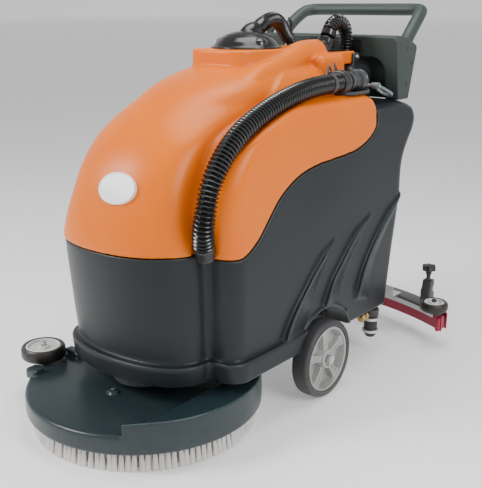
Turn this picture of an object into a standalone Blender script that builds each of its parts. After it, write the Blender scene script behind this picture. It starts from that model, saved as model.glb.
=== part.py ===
"""Walk-behind single-disc floor scrubber-dryer.

Metres, +Z up, front towards -Y.  Every piece hangs on the empty "machine",
which stands on the floor under the brush axis, so places below are measured
from that axis: x to the machine's left, y to its rear, z up from the floor.
"""
import math

import bmesh
import bpy
from mathutils import Vector

# Driving dimensions
BRUSH_Y = -0.3407          # brush axis in the row frame, which is centred on the whole box
GAP = 0.0004               # clearance between touching pieces
DECK_R = 0.280             # brush deck, outside
BRUSH_R = 0.265            # brush, 530 mm working width
DECK_LIP_Z = 0.047         # lower edge of the deck skirt
DECK_LOW_Z = 0.092         # top of the low part of the deck
DECK_HIGH_Z = 0.122        # top of the raised left side of the deck
WHEEL_R = 0.100            # drive-side transport wheels, 200 mm
WHEEL_W = 0.048
WHEEL_X = 0.268            # middle of the wheel width
AXLE_Y = 0.355
SIDE_X = 0.262             # flat sides of the body
FLOOR_PAN_Z = 0.145        # underside of the body flange
FLANGE_TOP_Z = 0.192
FLANGE_OUT = 0.012         # how far the flange stands out
SEAM_Z = 0.440             # front seam between the two tanks
TANK_REAR_Y = 0.604        # rear wall of the recovery tank
BODY_REAR_Y = 0.756
HINGE_Y = 0.660            # recovery tank hinge
HINGE_Z = 0.820
HINGE_X = 0.130
LID_Y = 0.385              # middle of the recovery tank lid
RIM_TOP_Z = 0.858          # top of the raised rim that carries the lid
INLET_X = 0.088            # suction inlet of the recovery tank
INLET_Z = 0.832
INLET_END_Y = 0.565
LATCH_X = 0.224            # finger latch beside the column top
LATCH_Y = 0.640
LATCH_Z = 0.750
PEDAL_Y = 0.688            # pivot of the deck lift pedal
PEDAL_Z = 0.122
CONSOLE_TOP_Z = 0.872
CONSOLE_X = 0.232
HANDLE_R = 0.0165
HANDLE_X = 0.200
HANDLE_Y = 0.945
HANDLE_Z = 0.938
ARM_PIVOT_Y = 0.640        # lift pivot of the squeegee arm
ARM_PIVOT_Z = 0.116
SWIVEL_Y = 0.800           # vertical pin that the squeegee swings about
SQUEEGEE_X = 0.375         # half width of the squeegee
BLADE_LOW_Z = 0.050        # blades are carried 50 mm off the floor
CASTER_X = 0.125
CASTER_Y = 0.585
CASTER_R = 0.040
CASTER_TRAIL = 0.030

ORANGE = ((1.0, 0.22, 0.0), 0.38, 0.0)
DARK = ((0.033, 0.040, 0.045), 0.5, 0.0)
DECK_GREY = ((0.028, 0.062, 0.070), 0.45, 0.0)
CONSOLE_GREY = ((0.07, 0.095, 0.085), 0.5, 0.0)
BLACK = ((0.012, 0.012, 0.013), 0.35, 0.0)
RUBBER = ((0.03, 0.03, 0.032), 0.7, 0.0)
TYRE = ((0.055, 0.055, 0.06), 0.65, 0.0)
RED = ((0.42, 0.006, 0.03), 0.4, 0.0)
CAST = ((0.50, 0.50, 0.48), 0.4, 0.2)
STEEL = ((0.55, 0.56, 0.57), 0.3, 1.0)
ZINC = ((0.60, 0.62, 0.60), 0.45, 1.0)
BRASS = ((0.70, 0.48, 0.16), 0.3, 1.0)
BRISTLE = ((0.75, 0.72, 0.68), 0.7, 0.0)
WHITE = ((0.8, 0.8, 0.78), 0.35, 0.0)
SILVER = ((0.42, 0.44, 0.46), 0.4, 0.3)
MOTOR = ((0.10, 0.11, 0.12), 0.4, 0.6)
GREEN = ((0.02, 0.35, 0.06), 0.4, 0.0)


def clear_scene():
    for obj in list(bpy.data.objects):
        bpy.data.objects.remove(obj, do_unlink=True)


clear_scene()
PARTS = bpy.data.collections.new("rotary_floor_machine")
CUTTERS = bpy.data.collections.new("cutters")
for made in (PARTS, CUTTERS):
    bpy.context.scene.collection.children.link(made)
MACHINE = bpy.data.objects.new("machine", None)
MACHINE.location = (0.0, BRUSH_Y, 0.0)
PARTS.objects.link(MACHINE)


# ---------------------------------------------------------------- helpers
def dress(obj, look):
    """Give an object its own Principled material."""
    colour, roughness, metallic = look
    mat = bpy.data.materials.new(obj.name)
    mat.use_nodes = True
    shader = mat.node_tree.nodes["Principled BSDF"]
    shader.inputs["Base Color"].default_value = (*colour, 1.0)
    shader.inputs["Roughness"].default_value = roughness
    shader.inputs["Metallic"].default_value = metallic
    mat.diffuse_color = (*colour, 1.0)
    obj.data.materials.append(mat)


def place(name, data, look, at=(0, 0, 0), turn=(0, 0, 0)):
    """Add data as a part when it has a look, or as a cutter or helper when it has none."""
    obj = bpy.data.objects.new(name, data)
    obj.parent = MACHINE
    obj.location = at
    obj.rotation_euler = turn
    if look is None:
        CUTTERS.objects.link(obj)
        obj.hide_render = True
        obj.display_type = "WIRE"
    else:
        PARTS.objects.link(obj)
        dress(obj, look)
    return obj


def mesh_from(name, bm):
    bmesh.ops.recalc_face_normals(bm, faces=bm.faces)
    mesh = bpy.data.meshes.new(name)
    bm.to_mesh(mesh)
    bm.free()
    return mesh


def smooth(obj, angle=35):
    obj.data.shade_smooth()
    obj.data.set_sharp_from_angle(angle=math.radians(angle))
    return obj


def bevel(obj, width, segments=1, angle=40):
    mod = obj.modifiers.new("rounded edges", "BEVEL")
    mod.width = width
    mod.segments = segments
    mod.limit_method = "ANGLE"
    mod.angle_limit = math.radians(angle)
    return obj


def box(name, size, at, look=None, round_edges=0.0, turn=(0, 0, 0)):
    bm = bmesh.new()
    bmesh.ops.create_cube(bm, size=1.0)
    bmesh.ops.scale(bm, vec=Vector(size), verts=bm.verts)
    obj = place(name, mesh_from(name, bm), look, at, turn)
    if round_edges:
        bevel(obj, round_edges)
    return obj


def cylinder(name, radius, length, at, look=None, axis="Z", sides=24, top_radius=None):
    turns = {"Z": (0, 0, 0), "X": (0, math.pi / 2, 0), "Y": (-math.pi / 2, 0, 0)}
    bm = bmesh.new()
    end = radius if top_radius is None else top_radius
    bmesh.ops.create_cone(bm, cap_ends=True, segments=sides, radius1=radius, radius2=end, depth=length)
    return smooth(place(name, mesh_from(name, bm), look, at, turns[axis]))


def turned(name, profile, at, look=None, axis="Z", steps=32, ring=False):
    """Turn a profile of (radius, height) points, given from top to bottom on the outer side."""
    turns = {"Z": (0, 0, 0), "X": (0, math.pi / 2, 0), "Y": (-math.pi / 2, 0, 0)}
    mesh = bpy.data.meshes.new(name)
    edges = [(i, i + 1) for i in range(len(profile) - 1)]
    if ring:
        edges.append((len(profile) - 1, 0))
    mesh.from_pydata([(r, 0.0, z) for r, z in profile], edges, [])
    obj = place(name, mesh, look, at, turns[axis])
    mod = obj.modifiers.new("turn", "SCREW")
    mod.steps = steps
    mod.render_steps = steps
    mod.use_merge_vertices = True
    mod.merge_threshold = 0.00005
    mod.use_smooth_shade = False
    return obj


def plate(name, outline, thickness, at, look=None, turn=(0, 0, 0), round_edges=0.0):
    """Extrude a flat outline, centred on its thickness."""
    curve = bpy.data.curves.new(name, "CURVE")
    curve.dimensions = "2D"
    curve.fill_mode = "BOTH"
    curve.extrude = thickness / 2
    line = curve.splines.new("POLY")
    line.points.add(len(outline) - 1)
    for point, (x, y) in zip(line.points, outline):
        point.co = (x, y, 0.0, 1.0)
    line.use_cyclic_u = True
    return bake(place(name, curve, look, at, turn), round_edges)


def bake(obj, round_edges=0.0):
    """Replace a curve object by its closed mesh, so that it can be cut and joined."""
    bpy.context.view_layer.update()
    graph = bpy.context.evaluated_depsgraph_get()
    mesh = bpy.data.meshes.new_from_object(obj.evaluated_get(graph))
    bm = bmesh.new()
    bm.from_mesh(mesh)
    bmesh.ops.remove_doubles(bm, verts=bm.verts, dist=0.00001)
    bmesh.ops.recalc_face_normals(bm, faces=bm.faces)
    bm.to_mesh(mesh)
    bm.free()
    name = obj.name
    home = obj.users_collection[0]
    solid = bpy.data.objects.new(name + "_solid", mesh)
    home.objects.link(solid)
    solid.parent = MACHINE
    solid.location = obj.location
    solid.rotation_euler = obj.rotation_euler
    solid.hide_render = obj.hide_render
    solid.display_type = obj.display_type
    bpy.data.objects.remove(obj, do_unlink=True)
    solid.name = name
    if round_edges:
        bevel(solid, round_edges)
    return solid


def smooth_route(points, step):
    """Points every step along the smooth curve through the given points."""
    pts = [Vector(p) for p in points]
    pts = [2 * pts[0] - pts[1]] + pts + [2 * pts[-1] - pts[-2]]
    dense = []
    for a, b, c, d in zip(pts, pts[1:], pts[2:], pts[3:]):
        for i in range(16):
            t = i / 16
            dense.append(0.5 * (2 * b + (c - a) * t + (2 * a - 5 * b + 4 * c - d) * t * t
                                + (3 * b - a - 3 * c + d) * t ** 3))
    dense.append(pts[-2])
    total = sum((q - p).length for p, q in zip(dense, dense[1:]))
    count = max(2, round(total / step))
    route, walked, target = [dense[0]], 0.0, total / count
    for p, q in zip(dense, dense[1:]):
        length = (q - p).length
        while walked + length >= target and len(route) < count:
            route.append(p.lerp(q, (target - walked) / length))
            target += total / count
        walked += length
    route.append(dense[-1])
    return route


def tube(name, points, radius, look=None, step=None, sides=2):
    """A solid rod along a smooth route, or along the points themselves when no step is given."""
    route = smooth_route(points, step) if step else points
    curve = bpy.data.curves.new(name, "CURVE")
    curve.dimensions = "3D"
    curve.bevel_depth = radius
    curve.bevel_resolution = sides
    curve.use_fill_caps = True
    line = curve.splines.new("POLY")
    line.points.add(len(route) - 1)
    for point, co in zip(line.points, route):
        point.co = (*co, 1.0)
    return smooth(bake(place(name, curve, look)), 50)


def boolean(obj, operation, others):
    for other in others:
        mod = obj.modifiers.new(operation.lower() + " " + other.name, "BOOLEAN")
        mod.operation = operation
        mod.solver = "EXACT"
        mod.object = other
    return obj


def cut(obj, *others):
    return boolean(obj, "DIFFERENCE", others)


def join(obj, *others):
    return boolean(obj, "UNION", others)


def arc(centre, radius, start, end, count):
    """Points on an arc, angles in degrees."""
    angles = [math.radians(start + (end - start) * i / count) for i in range(count + 1)]
    return [(centre[0] + radius * math.cos(a), centre[1] + radius * math.sin(a)) for a in angles]


def loft(name, rings, look=None):
    """Skin a stack of rings that have the same number of points, with flat ends."""
    bm = bmesh.new()
    rows = [[bm.verts.new(co) for co in ring] for ring in rings]
    count = len(rows[0])
    for low, high in zip(rows, rows[1:]):
        for i in range(count):
            j = (i + 1) % count
            bm.faces.new((low[i], low[j], high[j], high[i]))
    bm.faces.new(rows[0])
    bm.faces.new(rows[-1])
    return smooth(place(name, mesh_from(name, bm), look), 30)


# ---------------------------------------------------------------- body outline
def body_ring(z, nose_y, nose_x, crease_y, side_x, rear_y, rear_r=0.050):
    """Plan outline of the body: a rounded nose, a crease at each side, columns and a flat rear."""
    half = []
    for i in range(8):
        turn = i / 7 * math.pi / 2
        x = nose_x * math.sin(turn) ** 0.8
        y = crease_y - (crease_y - nose_y) * math.cos(turn) ** 0.8
        half.append((x, y))
    half.append((nose_x - 0.006, crease_y + 0.012))
    shoulder = min(0.045, max(side_x - nose_x, 0.004))
    half += arc((side_x - shoulder, crease_y + 0.012 + shoulder), shoulder, -80, 0, 3)
    half += arc((side_x - rear_r, rear_y - rear_r), rear_r, 0, 80, 3)
    half.append((side_x * 0.5, rear_y + 0.002))
    half.append((0.0, rear_y + 0.004))
    other = [(-x, y) for x, y in half[-2:0:-1]]
    return [(x, y, z) for x, y in half + other]


def parting_outline(front_y, top_z, shift):
    """Side view (y, z) of all that lies over the tank parting line, moved along it by shift."""
    line = [(front_y, SEAM_Z), (-0.040, SEAM_Z), (0.010, 0.429), (0.060, 0.430), (0.105, 0.456),
            (0.140, 0.492), (0.178, 0.532), (0.220, 0.560), (0.270, 0.580), (0.340, 0.592),
            (0.430, 0.597), (0.500, 0.604), (0.555, 0.622), (0.590, 0.648), (TANK_REAR_Y, 0.680)]
    line = [(y - shift, z + shift) for y, z in line]
    return line + [(TANK_REAR_Y - shift, top_z), (front_y, top_z)]


def side_prism(name, outline, width, look=None):
    """Extrude a (y, z) outline across the machine."""
    return plate(name, outline, width, (0, 0, 0), look, (math.pi / 2, 0, math.pi / 2))


# ---------------------------------------------------------------- tanks
def solution_tank():
    """Lower body: clean water tank with the battery bay, wheel arches and rear column."""
    rings = [
        body_ring(0.1450, -0.090, 0.196, -0.004, 0.258, 0.716),
        body_ring(0.3000, -0.122, 0.204, -0.008, SIDE_X, 0.727),
        body_ring(0.4600, -0.148, 0.208, -0.010, SIDE_X, 0.755),
        body_ring(0.5700, -0.148, 0.208, -0.010, SIDE_X, BODY_REAR_Y),
        body_ring(0.6000, -0.140, 0.208, 0.000, SIDE_X, 0.775),
        body_ring(0.6340, -0.140, 0.208, 0.000, SIDE_X, 0.802),
        body_ring(0.6600, -0.140, 0.208, 0.000, SIDE_X - 0.002, 0.800),
        body_ring(0.6850, -0.140, 0.208, 0.000, SIDE_X - 0.014, 0.778),
        body_ring(0.7020, -0.140, 0.200, 0.000, SIDE_X - 0.040, 0.735),
    ]
    tank = loft("solution_tank", rings, DARK)
    flange = loft("flange", [
        body_ring(FLOOR_PAN_Z, -0.114, 0.206, -0.012, SIDE_X + FLANGE_OUT, 0.500),
        body_ring(FLANGE_TOP_Z - 0.006, -0.118, 0.208, -0.014, SIDE_X + FLANGE_OUT, 0.500),
        body_ring(FLANGE_TOP_Z, -0.112, 0.204, -0.010, SIDE_X + FLANGE_OUT - 0.004, 0.496),
    ])
    hump = bevel(box("column_top", (0.340, 0.104, 0.210), (0, 0.668, 0.693)), 0.018, 2)
    cutters = [side_prism("over_parting_line", parting_outline(-0.30, 1.0, 0.0), 0.8)]
    cutters.append(box("battery_bay", (0.350, 0.440, 0.500), (0, 0.310, 0.190 + 0.250)))
    for side in (-1, 1):
        cutters.append(cylinder("wheel_arch", 0.124, 0.160, (side * 0.270, 0.374, 0.100), axis="X", sides=28))
    cutters.append(box("motor_room", (0.180, 0.166, 0.400), (0, -0.005, 0.130)))
    cutters.append(tube("hose_channel", HOSE_DOWN, 0.030, step=0.06))
    cutters.append(box("hose_slot", (0.060, 0.080, 0.600), (INLET_X, 0.760, 0.420)))
    cutters.append(cylinder("vacuum_room", VACUUM_R + 0.004, 0.240, (VACUUM_X, VACUUM_Y, 0.720), sides=24))
    cutters.append(box("arm_room", (0.110, 0.300, 0.120), (0, 0.720, 0.110)))
    join(tank, flange, hump)
    join(tank, cylinder("latch_pin", 0.0042, 0.076, (LATCH_X - 0.026, LATCH_Y, LATCH_Z), axis="X", sides=12))
    for side in (-1, 1):
        for ear in (-1, 1):
            at = (side * HINGE_X + ear * 0.0170, HINGE_Y, HINGE_Z - 0.014)
            join(tank, box("hinge_ear", (0.006, 0.026, 0.048), at))
        cutters.append(cylinder("pin_seat", 0.0054, 0.060, (side * HINGE_X, HINGE_Y, HINGE_Z), axis="X", sides=12))
    return cut(tank, *cutters)


VACUUM_X = -0.075
VACUUM_Y = 0.668
VACUUM_R = 0.045
HOSE_DOWN = [(INLET_X, 0.699, 0.900), (INLET_X, 0.704, 0.810), (INLET_X, 0.716, 0.730),
             (INLET_X, 0.742, 0.620), (INLET_X, 0.755, 0.500), (INLET_X, 0.752, 0.300),
             (INLET_X, 0.752, 0.080)]


def recovery_tank():
    """Upper tank for dirty water: domed nose, flared leaf at each side, raised lid rim, inlet duct."""
    rear = TANK_REAR_Y - 0.008
    rings = [
        body_ring(0.4000, -0.150, 0.207, -0.014, SIDE_X, rear, 0.010),
        body_ring(0.4400, -0.152, 0.208, -0.020, SIDE_X, rear, 0.010),
        body_ring(0.5000, -0.150, 0.208, -0.030, SIDE_X, rear, 0.010),
        body_ring(0.5500, -0.141, 0.208, -0.030, SIDE_X, rear, 0.010),
        body_ring(0.6000, -0.120, 0.207, -0.010, SIDE_X, rear, 0.010),
        body_ring(0.6400, -0.092, 0.206, 0.020, SIDE_X, rear, 0.012),
        body_ring(0.6800, -0.050, 0.205, 0.075, SIDE_X, rear, 0.016),
        body_ring(0.7100, -0.008, 0.203, 0.150, SIDE_X - 0.003, rear, 0.024),
        body_ring(0.7280, 0.022, 0.200, 0.210, SIDE_X - 0.012, rear - 0.004, 0.040),
        body_ring(0.7360, 0.036, 0.198, 0.240, SIDE_X - 0.034, rear - 0.012, 0.040),
        body_ring(0.7420, 0.046, 0.196, 0.250, 0.200, rear - 0.020, 0.040),
        body_ring(0.7700, 0.102, 0.183, 0.280, 0.187, rear - 0.022, 0.040),
        body_ring(0.7950, 0.166, 0.158, 0.320, 0.162, rear - 0.026, 0.040),
        body_ring(0.8150, 0.238, 0.122, 0.360, 0.126, rear - 0.036, 0.040),
        body_ring(0.8280, 0.305, 0.080, 0.380, 0.084, rear - 0.050, 0.030),
    ]
    tank = loft("recovery_tank", rings, ORANGE)
    rim = loft("lid_rim", [oval(0.110, 0.162, 0.402, z) for z in (0.700, RIM_TOP_Z)])
    duct = tube("inlet_duct", [(0.104, 0.300, 0.780), (0.098, 0.400, 0.806), (0.090, 0.490, 0.829),
                               (INLET_X, INLET_END_Y, INLET_Z)], 0.034, step=0.07, sides=4)
    keep = parting_outline(-0.30, 1.0, 0.0016)
    under = [(-0.31, 0.30)] + keep[:-2] + [(keep[-3][0], 0.72), (0.80, 0.72), (0.80, 0.30)]
    cutters = [side_prism("under_parting_line", under, 0.8)]
    for side in (-1, 1):
        groove = [(side * x, y, z) for x, y, z in [(0.206, -0.012, 0.434)] + DRAIN_ROUTE]
        cutters.append(tube("hose_groove", groove, 0.0268, step=0.055))
    hollow = [(0.165, 0.190, 0.330, 0.620), (0.160, 0.180, 0.340, 0.700),
              (0.130, 0.140, 0.380, 0.760), (0.095, 0.110, 0.390, 0.790)]
    cutters.append(loft("tank_hollow", [oval(x, y, mid, z, 2.6, 24) for x, y, mid, z in hollow]))
    cap_end = DRAIN_ROUTE[-1]
    cutters.append(cylinder("cap_recess", 0.0298, 0.170, (cap_end[0], cap_end[1] - 0.010, cap_end[2]), axis="Y"))
    cutters.append(badge_plate("badge_seat", 2 * GAP))
    cutters.append(cylinder("lid_mouth", 0.060, 0.160, (0, LID_Y, 0.800), sides=24))
    cutters.append(cylinder("collar_clear", 0.0325, 0.080, (INLET_X, INLET_END_Y + 0.040, INLET_Z), axis="Y", sides=20))
    join(tank, rim, duct)
    for side in (-1, 1):
        lug = box("hinge_lug", (0.024, 0.136, 0.028), (side * HINGE_X, HINGE_Y - 0.060, HINGE_Z))
        join(tank, lug)
        cutters.append(cylinder("pin_hole", 0.0055, 0.060, (side * HINGE_X, HINGE_Y, HINGE_Z), axis="X", sides=12))
    return cut(tank, *cutters)


DRAIN_ROUTE = [(0.214, -0.022, 0.466), (0.226, -0.036, 0.505), (0.234, -0.036, 0.550),
               (0.236, -0.020, 0.602), (0.234, 0.020, 0.651), (0.230, 0.076, 0.690),
               (0.226, 0.148, 0.720), (0.222, 0.236, 0.745), (0.218, 0.330, 0.762),
               (0.214, 0.420, 0.768), (0.212, 0.500, 0.768), (0.212, 0.520, 0.767)]


def oval(half_x, half_y, centre_y, z, power=2.6, count=32):
    """Superellipse ring."""
    ring = []
    for i in range(count):
        turn = 2 * math.pi * i / count
        c, s = math.cos(turn), math.sin(turn)
        x = math.copysign(abs(c) ** (2 / power), c) * half_x
        y = math.copysign(abs(s) ** (2 / power), s) * half_y
        ring.append((x, centre_y + y, z))
    return ring


def tank_fittings():
    """What is fixed to the recovery tank: drain hose, its cap and holder, inlet collar, badge."""
    tube("drain_hose", DRAIN_ROUTE[:-1], 0.0225, RUBBER, step=0.055, sides=2)
    end = Vector(DRAIN_ROUTE[-2])
    cap = cylinder("drain_cap", 0.0280, 0.026, (end.x, end.y + 0.052, end.z), BLACK, "Y", 20)
    join(cap, cylinder("drain_cuff", 0.0240, 0.045, (end.x, end.y + 0.0245, end.z), axis="Y", sides=20))
    collar = cylinder("inlet_collar", 0.030, 0.030, (INLET_X, INLET_END_Y + 0.015 + GAP, INLET_Z), BLACK, "Y", 20)
    elbow = tube("elbow", [(INLET_X, INLET_END_Y + 0.010, INLET_Z), (INLET_X, INLET_END_Y + 0.032, INLET_Z + 0.010),
                           (INLET_X, INLET_END_Y + 0.048, INLET_Z + 0.036)], 0.0215, step=0.02)
    join(collar, elbow)
    ring = [(0.0286, 0.015), (0.0286, -0.015), (0.0238, -0.015), (0.0238, 0.015)]
    turned("hose_holder", ring, (end.x, end.y - 0.028, end.z), BLACK, "Y", 20, ring=True)
    badge_plate("badge", 0.0, SILVER)


BADGE_AT = (0.055, -0.1262, 0.5815)
BADGE_TURN = (math.radians(66), 0, math.radians(5))


def badge_plate(name, grow, look=None):
    """Plain oval plate let into the nose; it is also the cutter of its own seat."""
    steps = ((-0.006 - grow, 0.0), (0.0025, 0.0), (0.0045 + 40 * grow, 0.003 - 5 * grow))
    plate_rings = [oval(0.041 - inset + grow, 0.034 - inset + grow, 0, z, 2.0, 24) for z, inset in steps]
    badge = loft(name, plate_rings, look)
    badge.location = BADGE_AT
    badge.rotation_euler = BADGE_TURN
    return badge


def tank_lid():
    """Black dome over the tank mouth, with the vacuum elbow on top."""
    rim = RIM_TOP_Z + GAP
    dome = [(0.0, rim + 0.040), (0.030, rim + 0.036), (0.052, rim + 0.024), (0.066, rim + 0.006),
            (0.086, rim + 0.005), (0.088, rim), (0.0, rim)]
    lid = turned("tank_lid", dome, (0, LID_Y, 0), BLACK, steps=28)
    neck = tube("lid_neck", [(0, LID_Y, rim + 0.020), (0, LID_Y + 0.004, rim + 0.046),
                             (0, LID_Y + 0.036, rim + 0.058)], 0.021, step=0.02)
    join(lid, neck)


def suction_hoses():
    """Vacuum hose from the lid, and the two lengths of the pick-up hose."""
    lid_end = (0, LID_Y + 0.0400, RIM_TOP_Z + 0.0604)
    tube("vacuum_hose", [lid_end, (-0.003, LID_Y + 0.072, 0.930), (-0.018, LID_Y + 0.130, 0.934),
                         (-0.046, 0.580, 0.916), (-0.068, 0.640, 0.880),
                         (VACUUM_X, VACUUM_Y, 0.856), (VACUUM_X, VACUUM_Y, 0.8335)], 0.0180, RUBBER, step=0.035)
    tube("pickup_hose_upper", [(INLET_X, INLET_END_Y + 0.0495, INLET_Z + 0.0395),
                               (INLET_X, 0.628, 0.898), (INLET_X, 0.656, 0.911), (INLET_X, 0.685, 0.898),
                               (INLET_X, 0.699, 0.862), (INLET_X, 0.704, 0.810), (INLET_X, 0.716, 0.730),
                               (INLET_X, 0.742, 0.620), (INLET_X, 0.755, 0.500), (INLET_X, 0.756, 0.420),
                               (INLET_X, 0.756, 0.2955)],
         0.0180, RUBBER, step=0.035)
    cylinder("hose_coupling", 0.0225, 0.030, (INLET_X, 0.756, 0.280), BLACK)
    tube("pickup_hose_lower", [(INLET_X, 0.756, 0.2610), (INLET_X, 0.757, 0.2400),
                               (INLET_X, 0.778, 0.207), (INLET_X - 0.003, 0.822, 0.200),
                               (INLET_X - 0.007, 0.868, 0.204), (INLET_X - 0.008, 0.895, 0.184),
                               (INLET_X - 0.008, 0.896, 0.1650)],
         0.0180, RUBBER, step=0.030)


# ---------------------------------------------------------------- inside the body
def power_pack():
    for side, word in ((1, "left"), (-1, "right")):
        battery = box("battery_" + word, (0.160, 0.330, 0.215), (side * 0.0860, 0.280, 0.190 + GAP + 0.1075), MOTOR)
        bevel(battery, 0.004)
        for end in (-1, 1):
            join(battery, cylinder("post", 0.009, 0.020, (side * 0.086, 0.280 + end * 0.130, 0.412), sides=12))
    cylinder("vacuum_motor", VACUUM_R, 0.110, (VACUUM_X, VACUUM_Y, 0.656), MOTOR)
    cover_z = 0.798 + GAP
    outlet = [(0.020, cover_z + 0.030), (0.020, cover_z + 0.006), (0.056, cover_z + 0.005),
              (0.058, cover_z), (0.0, cover_z), (0.0, cover_z + 0.030)]
    turned("vacuum_cover", outlet[-1:] + outlet[:-1], (VACUUM_X, VACUUM_Y, 0), BLACK, steps=24)


# ---------------------------------------------------------------- chassis and wheels
def chassis():
    pan = FLOOR_PAN_Z - GAP
    outline = [(-0.188, 0.092), (0.188, 0.092), (0.188, 0.705), (0.056, 0.705), (0.056, 0.655),
               (-0.056, 0.655), (-0.056, 0.705), (-0.188, 0.705)]
    frame = plate("chassis_frame", outline, 0.005, (0, 0, pan - 0.0025), ZINC)
    axle_hole = cylinder("axle_hole", 0.0084, 0.500, (0, AXLE_Y, WHEEL_R), axis="X", sides=16)
    for side in (-1, 1):
        join(frame, box("axle_plate", (0.008, 0.050, 0.062), (side * 0.176, AXLE_Y, pan - 0.032)))
        join(frame, box("arm_plate", (0.006, 0.034, 0.050), (side * 0.037, ARM_PIVOT_Y, pan - 0.026)))
    cut(frame, axle_hole)
    for side in (-1, 1):
        mount = (side * CASTER_X, CASTER_Y, pan - 0.005 - 0.003)
        join(frame, box("caster_plate", (0.070, 0.070, 0.008), mount))
    join(frame, box("pedal_plate", (0.006, 0.030, 0.044), (-0.180, PEDAL_Y, pan - 0.023)))
    join(frame, cylinder("pedal_pin", 0.0050, 0.0260, (-0.171, PEDAL_Y, PEDAL_Z), axis="X", sides=12))
    join(frame, cylinder("arm_pin", 0.0060, 0.0780, (0, ARM_PIVOT_Y, ARM_PIVOT_Z), axis="X", sides=12))
    axle = cylinder("wheel_axle", 0.0080, 0.6000, (0, AXLE_Y, WHEEL_R), STEEL, "X", 16)
    nut_x = WHEEL_X + WHEEL_W / 2 + 0.0034
    for side in (-1, 1):
        join(axle, cylinder("axle_nut", 0.0130, 0.0060, (side * nut_x, AXLE_Y, WHEEL_R), axis="X", sides=6))


def wheel(word, side):
    half = WHEEL_W / 2
    x = side * WHEEL_X
    rim = [(0.0835, half - 0.004), (0.0835, -half + 0.004), (0.0760, -half + 0.004), (0.0760, -0.006),
           (0.0240, -0.006), (0.0240, -half + 0.004), (0.0090, -half + 0.004), (0.0090, half - 0.004),
           (0.0240, half - 0.004), (0.0240, 0.006), (0.0760, 0.006), (0.0760, half - 0.004)]
    turned("wheel_rim_" + word, rim, (x, AXLE_Y, WHEEL_R), CAST, "X", 28, ring=True)
    tread = [(WHEEL_R - 0.005, half), (WHEEL_R, half - 0.007), (WHEEL_R, -half + 0.007),
             (WHEEL_R - 0.005, -half), (0.0839, -half), (0.0839, half)]
    turned("tyre_" + word, tread, (x, AXLE_Y, WHEEL_R), TYRE, "X", 28, ring=True)


def caster(word, side):
    x, y = side * CASTER_X, CASTER_Y
    crown_z = FLOOR_PAN_Z - GAP - 0.012 - GAP
    fork = cylinder("caster_fork_" + word, 0.026, 0.016, (x, y, crown_z - 0.008), ZINC)
    axle_y = y + CASTER_TRAIL
    for leg in (-1, 1):
        shape = [(-0.016, crown_z - 0.016 + 0.004), (0.016, crown_z - 0.012), (CASTER_TRAIL + 0.010, CASTER_R),
                 (CASTER_TRAIL, CASTER_R - 0.010), (CASTER_TRAIL - 0.010, CASTER_R), (-0.016, crown_z - 0.040)]
        blade = plate("fork_leg", shape, 0.004, (x + leg * 0.0185, y, 0), None, (math.pi / 2, 0, math.pi / 2))
        join(fork, blade)
    join(fork, cylinder("caster_pin", 0.0045, 0.040, (x, axle_y, CASTER_R), axis="X", sides=12))
    tread = [(CASTER_R - 0.004, 0.014), (CASTER_R, 0.009), (CASTER_R, -0.009), (CASTER_R - 0.004, -0.014),
             (0.0050, -0.014), (0.0050, 0.014)]
    turned("caster_wheel_" + word, tread, (x, axle_y, CASTER_R), RUBBER, "X", 18, ring=True)


# ---------------------------------------------------------------- brush deck
ROLLER_X = -0.276
ROLLER_Y = -0.084


def brush_deck():
    low, lip = DECK_LOW_Z, DECK_LIP_Z
    profile = [(0.0500, low + 0.008), (0.1300, low + 0.006), (0.2700, low), (DECK_R, low - 0.008), (DECK_R, lip),
               (DECK_R - 0.008, lip), (DECK_R - 0.008, low - 0.010), (0.1300, low - 0.002), (0.0500, low)]
    deck = turned("brush_deck", profile, (0, 0, 0), DECK_GREY, steps=40, ring=True)
    raised = arc((0, 0), DECK_R - 0.001, -56, 56, 14) + [(0.196, 0.190), (0.196, -0.190)]
    wedge = plate("raised_side", raised, DECK_HIGH_Z - low + 0.010, (0, 0, (DECK_HIGH_Z + low - 0.010) / 2))
    bevel(wedge, 0.004)
    back = box("roller_block", (0.050, 0.036, 0.026), (-0.236, -0.016, low + 0.003), round_edges=0.004)
    front = box("roller_stop", (0.034, 0.036, 0.024), (-0.226, -0.146, low + 0.002), round_edges=0.004)
    lug = cylinder("roller_lug", 0.018, 0.040, (ROLLER_X + 0.004, ROLLER_Y, low - 0.014), sides=20)
    join(deck, wedge, back, front, lug)
    cut(deck, cylinder("roller_clear", 0.0565, 0.060, (ROLLER_X, ROLLER_Y, low + 0.0075 + 0.030)))
    roller("deck_roller", deck, ROLLER_X, ROLLER_Y, low + 0.008, 0.055, 0.032)


def roller(name, carrier, x, y, low, radius, height):
    """Bump roller: rubber tyre and plastic hub, turning on an upright stud of its carrier."""
    stud = cylinder(name + "_stud", 0.0040, height + 0.016, (x, y, low + height / 2), sides=12)
    join(carrier, stud, cylinder("stud_head", 0.0085, 0.005, (x, y, low + height + 0.006), sides=6))
    hub = [(radius - 0.012, height - 0.003), (radius - 0.012, 0.003), (0.0046, 0.003), (0.0046, height - 0.004),
           (0.0120, height - 0.004), (0.0120, height - 0.012), (radius - 0.016, height - 0.012),
           (radius - 0.016, height - 0.003)]
    turned(name + "_hub", hub, (x, y, low), WHITE, steps=18, ring=True)
    tyre = [(radius - 0.006, height), (radius, height - 0.006), (radius, 0.006), (radius - 0.006, 0.0),
            (radius - 0.0116, 0.0), (radius - 0.0116, height)]
    turned(name + "_tyre", tyre, (x, y, low), RUBBER, steps=18, ring=True)


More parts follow.
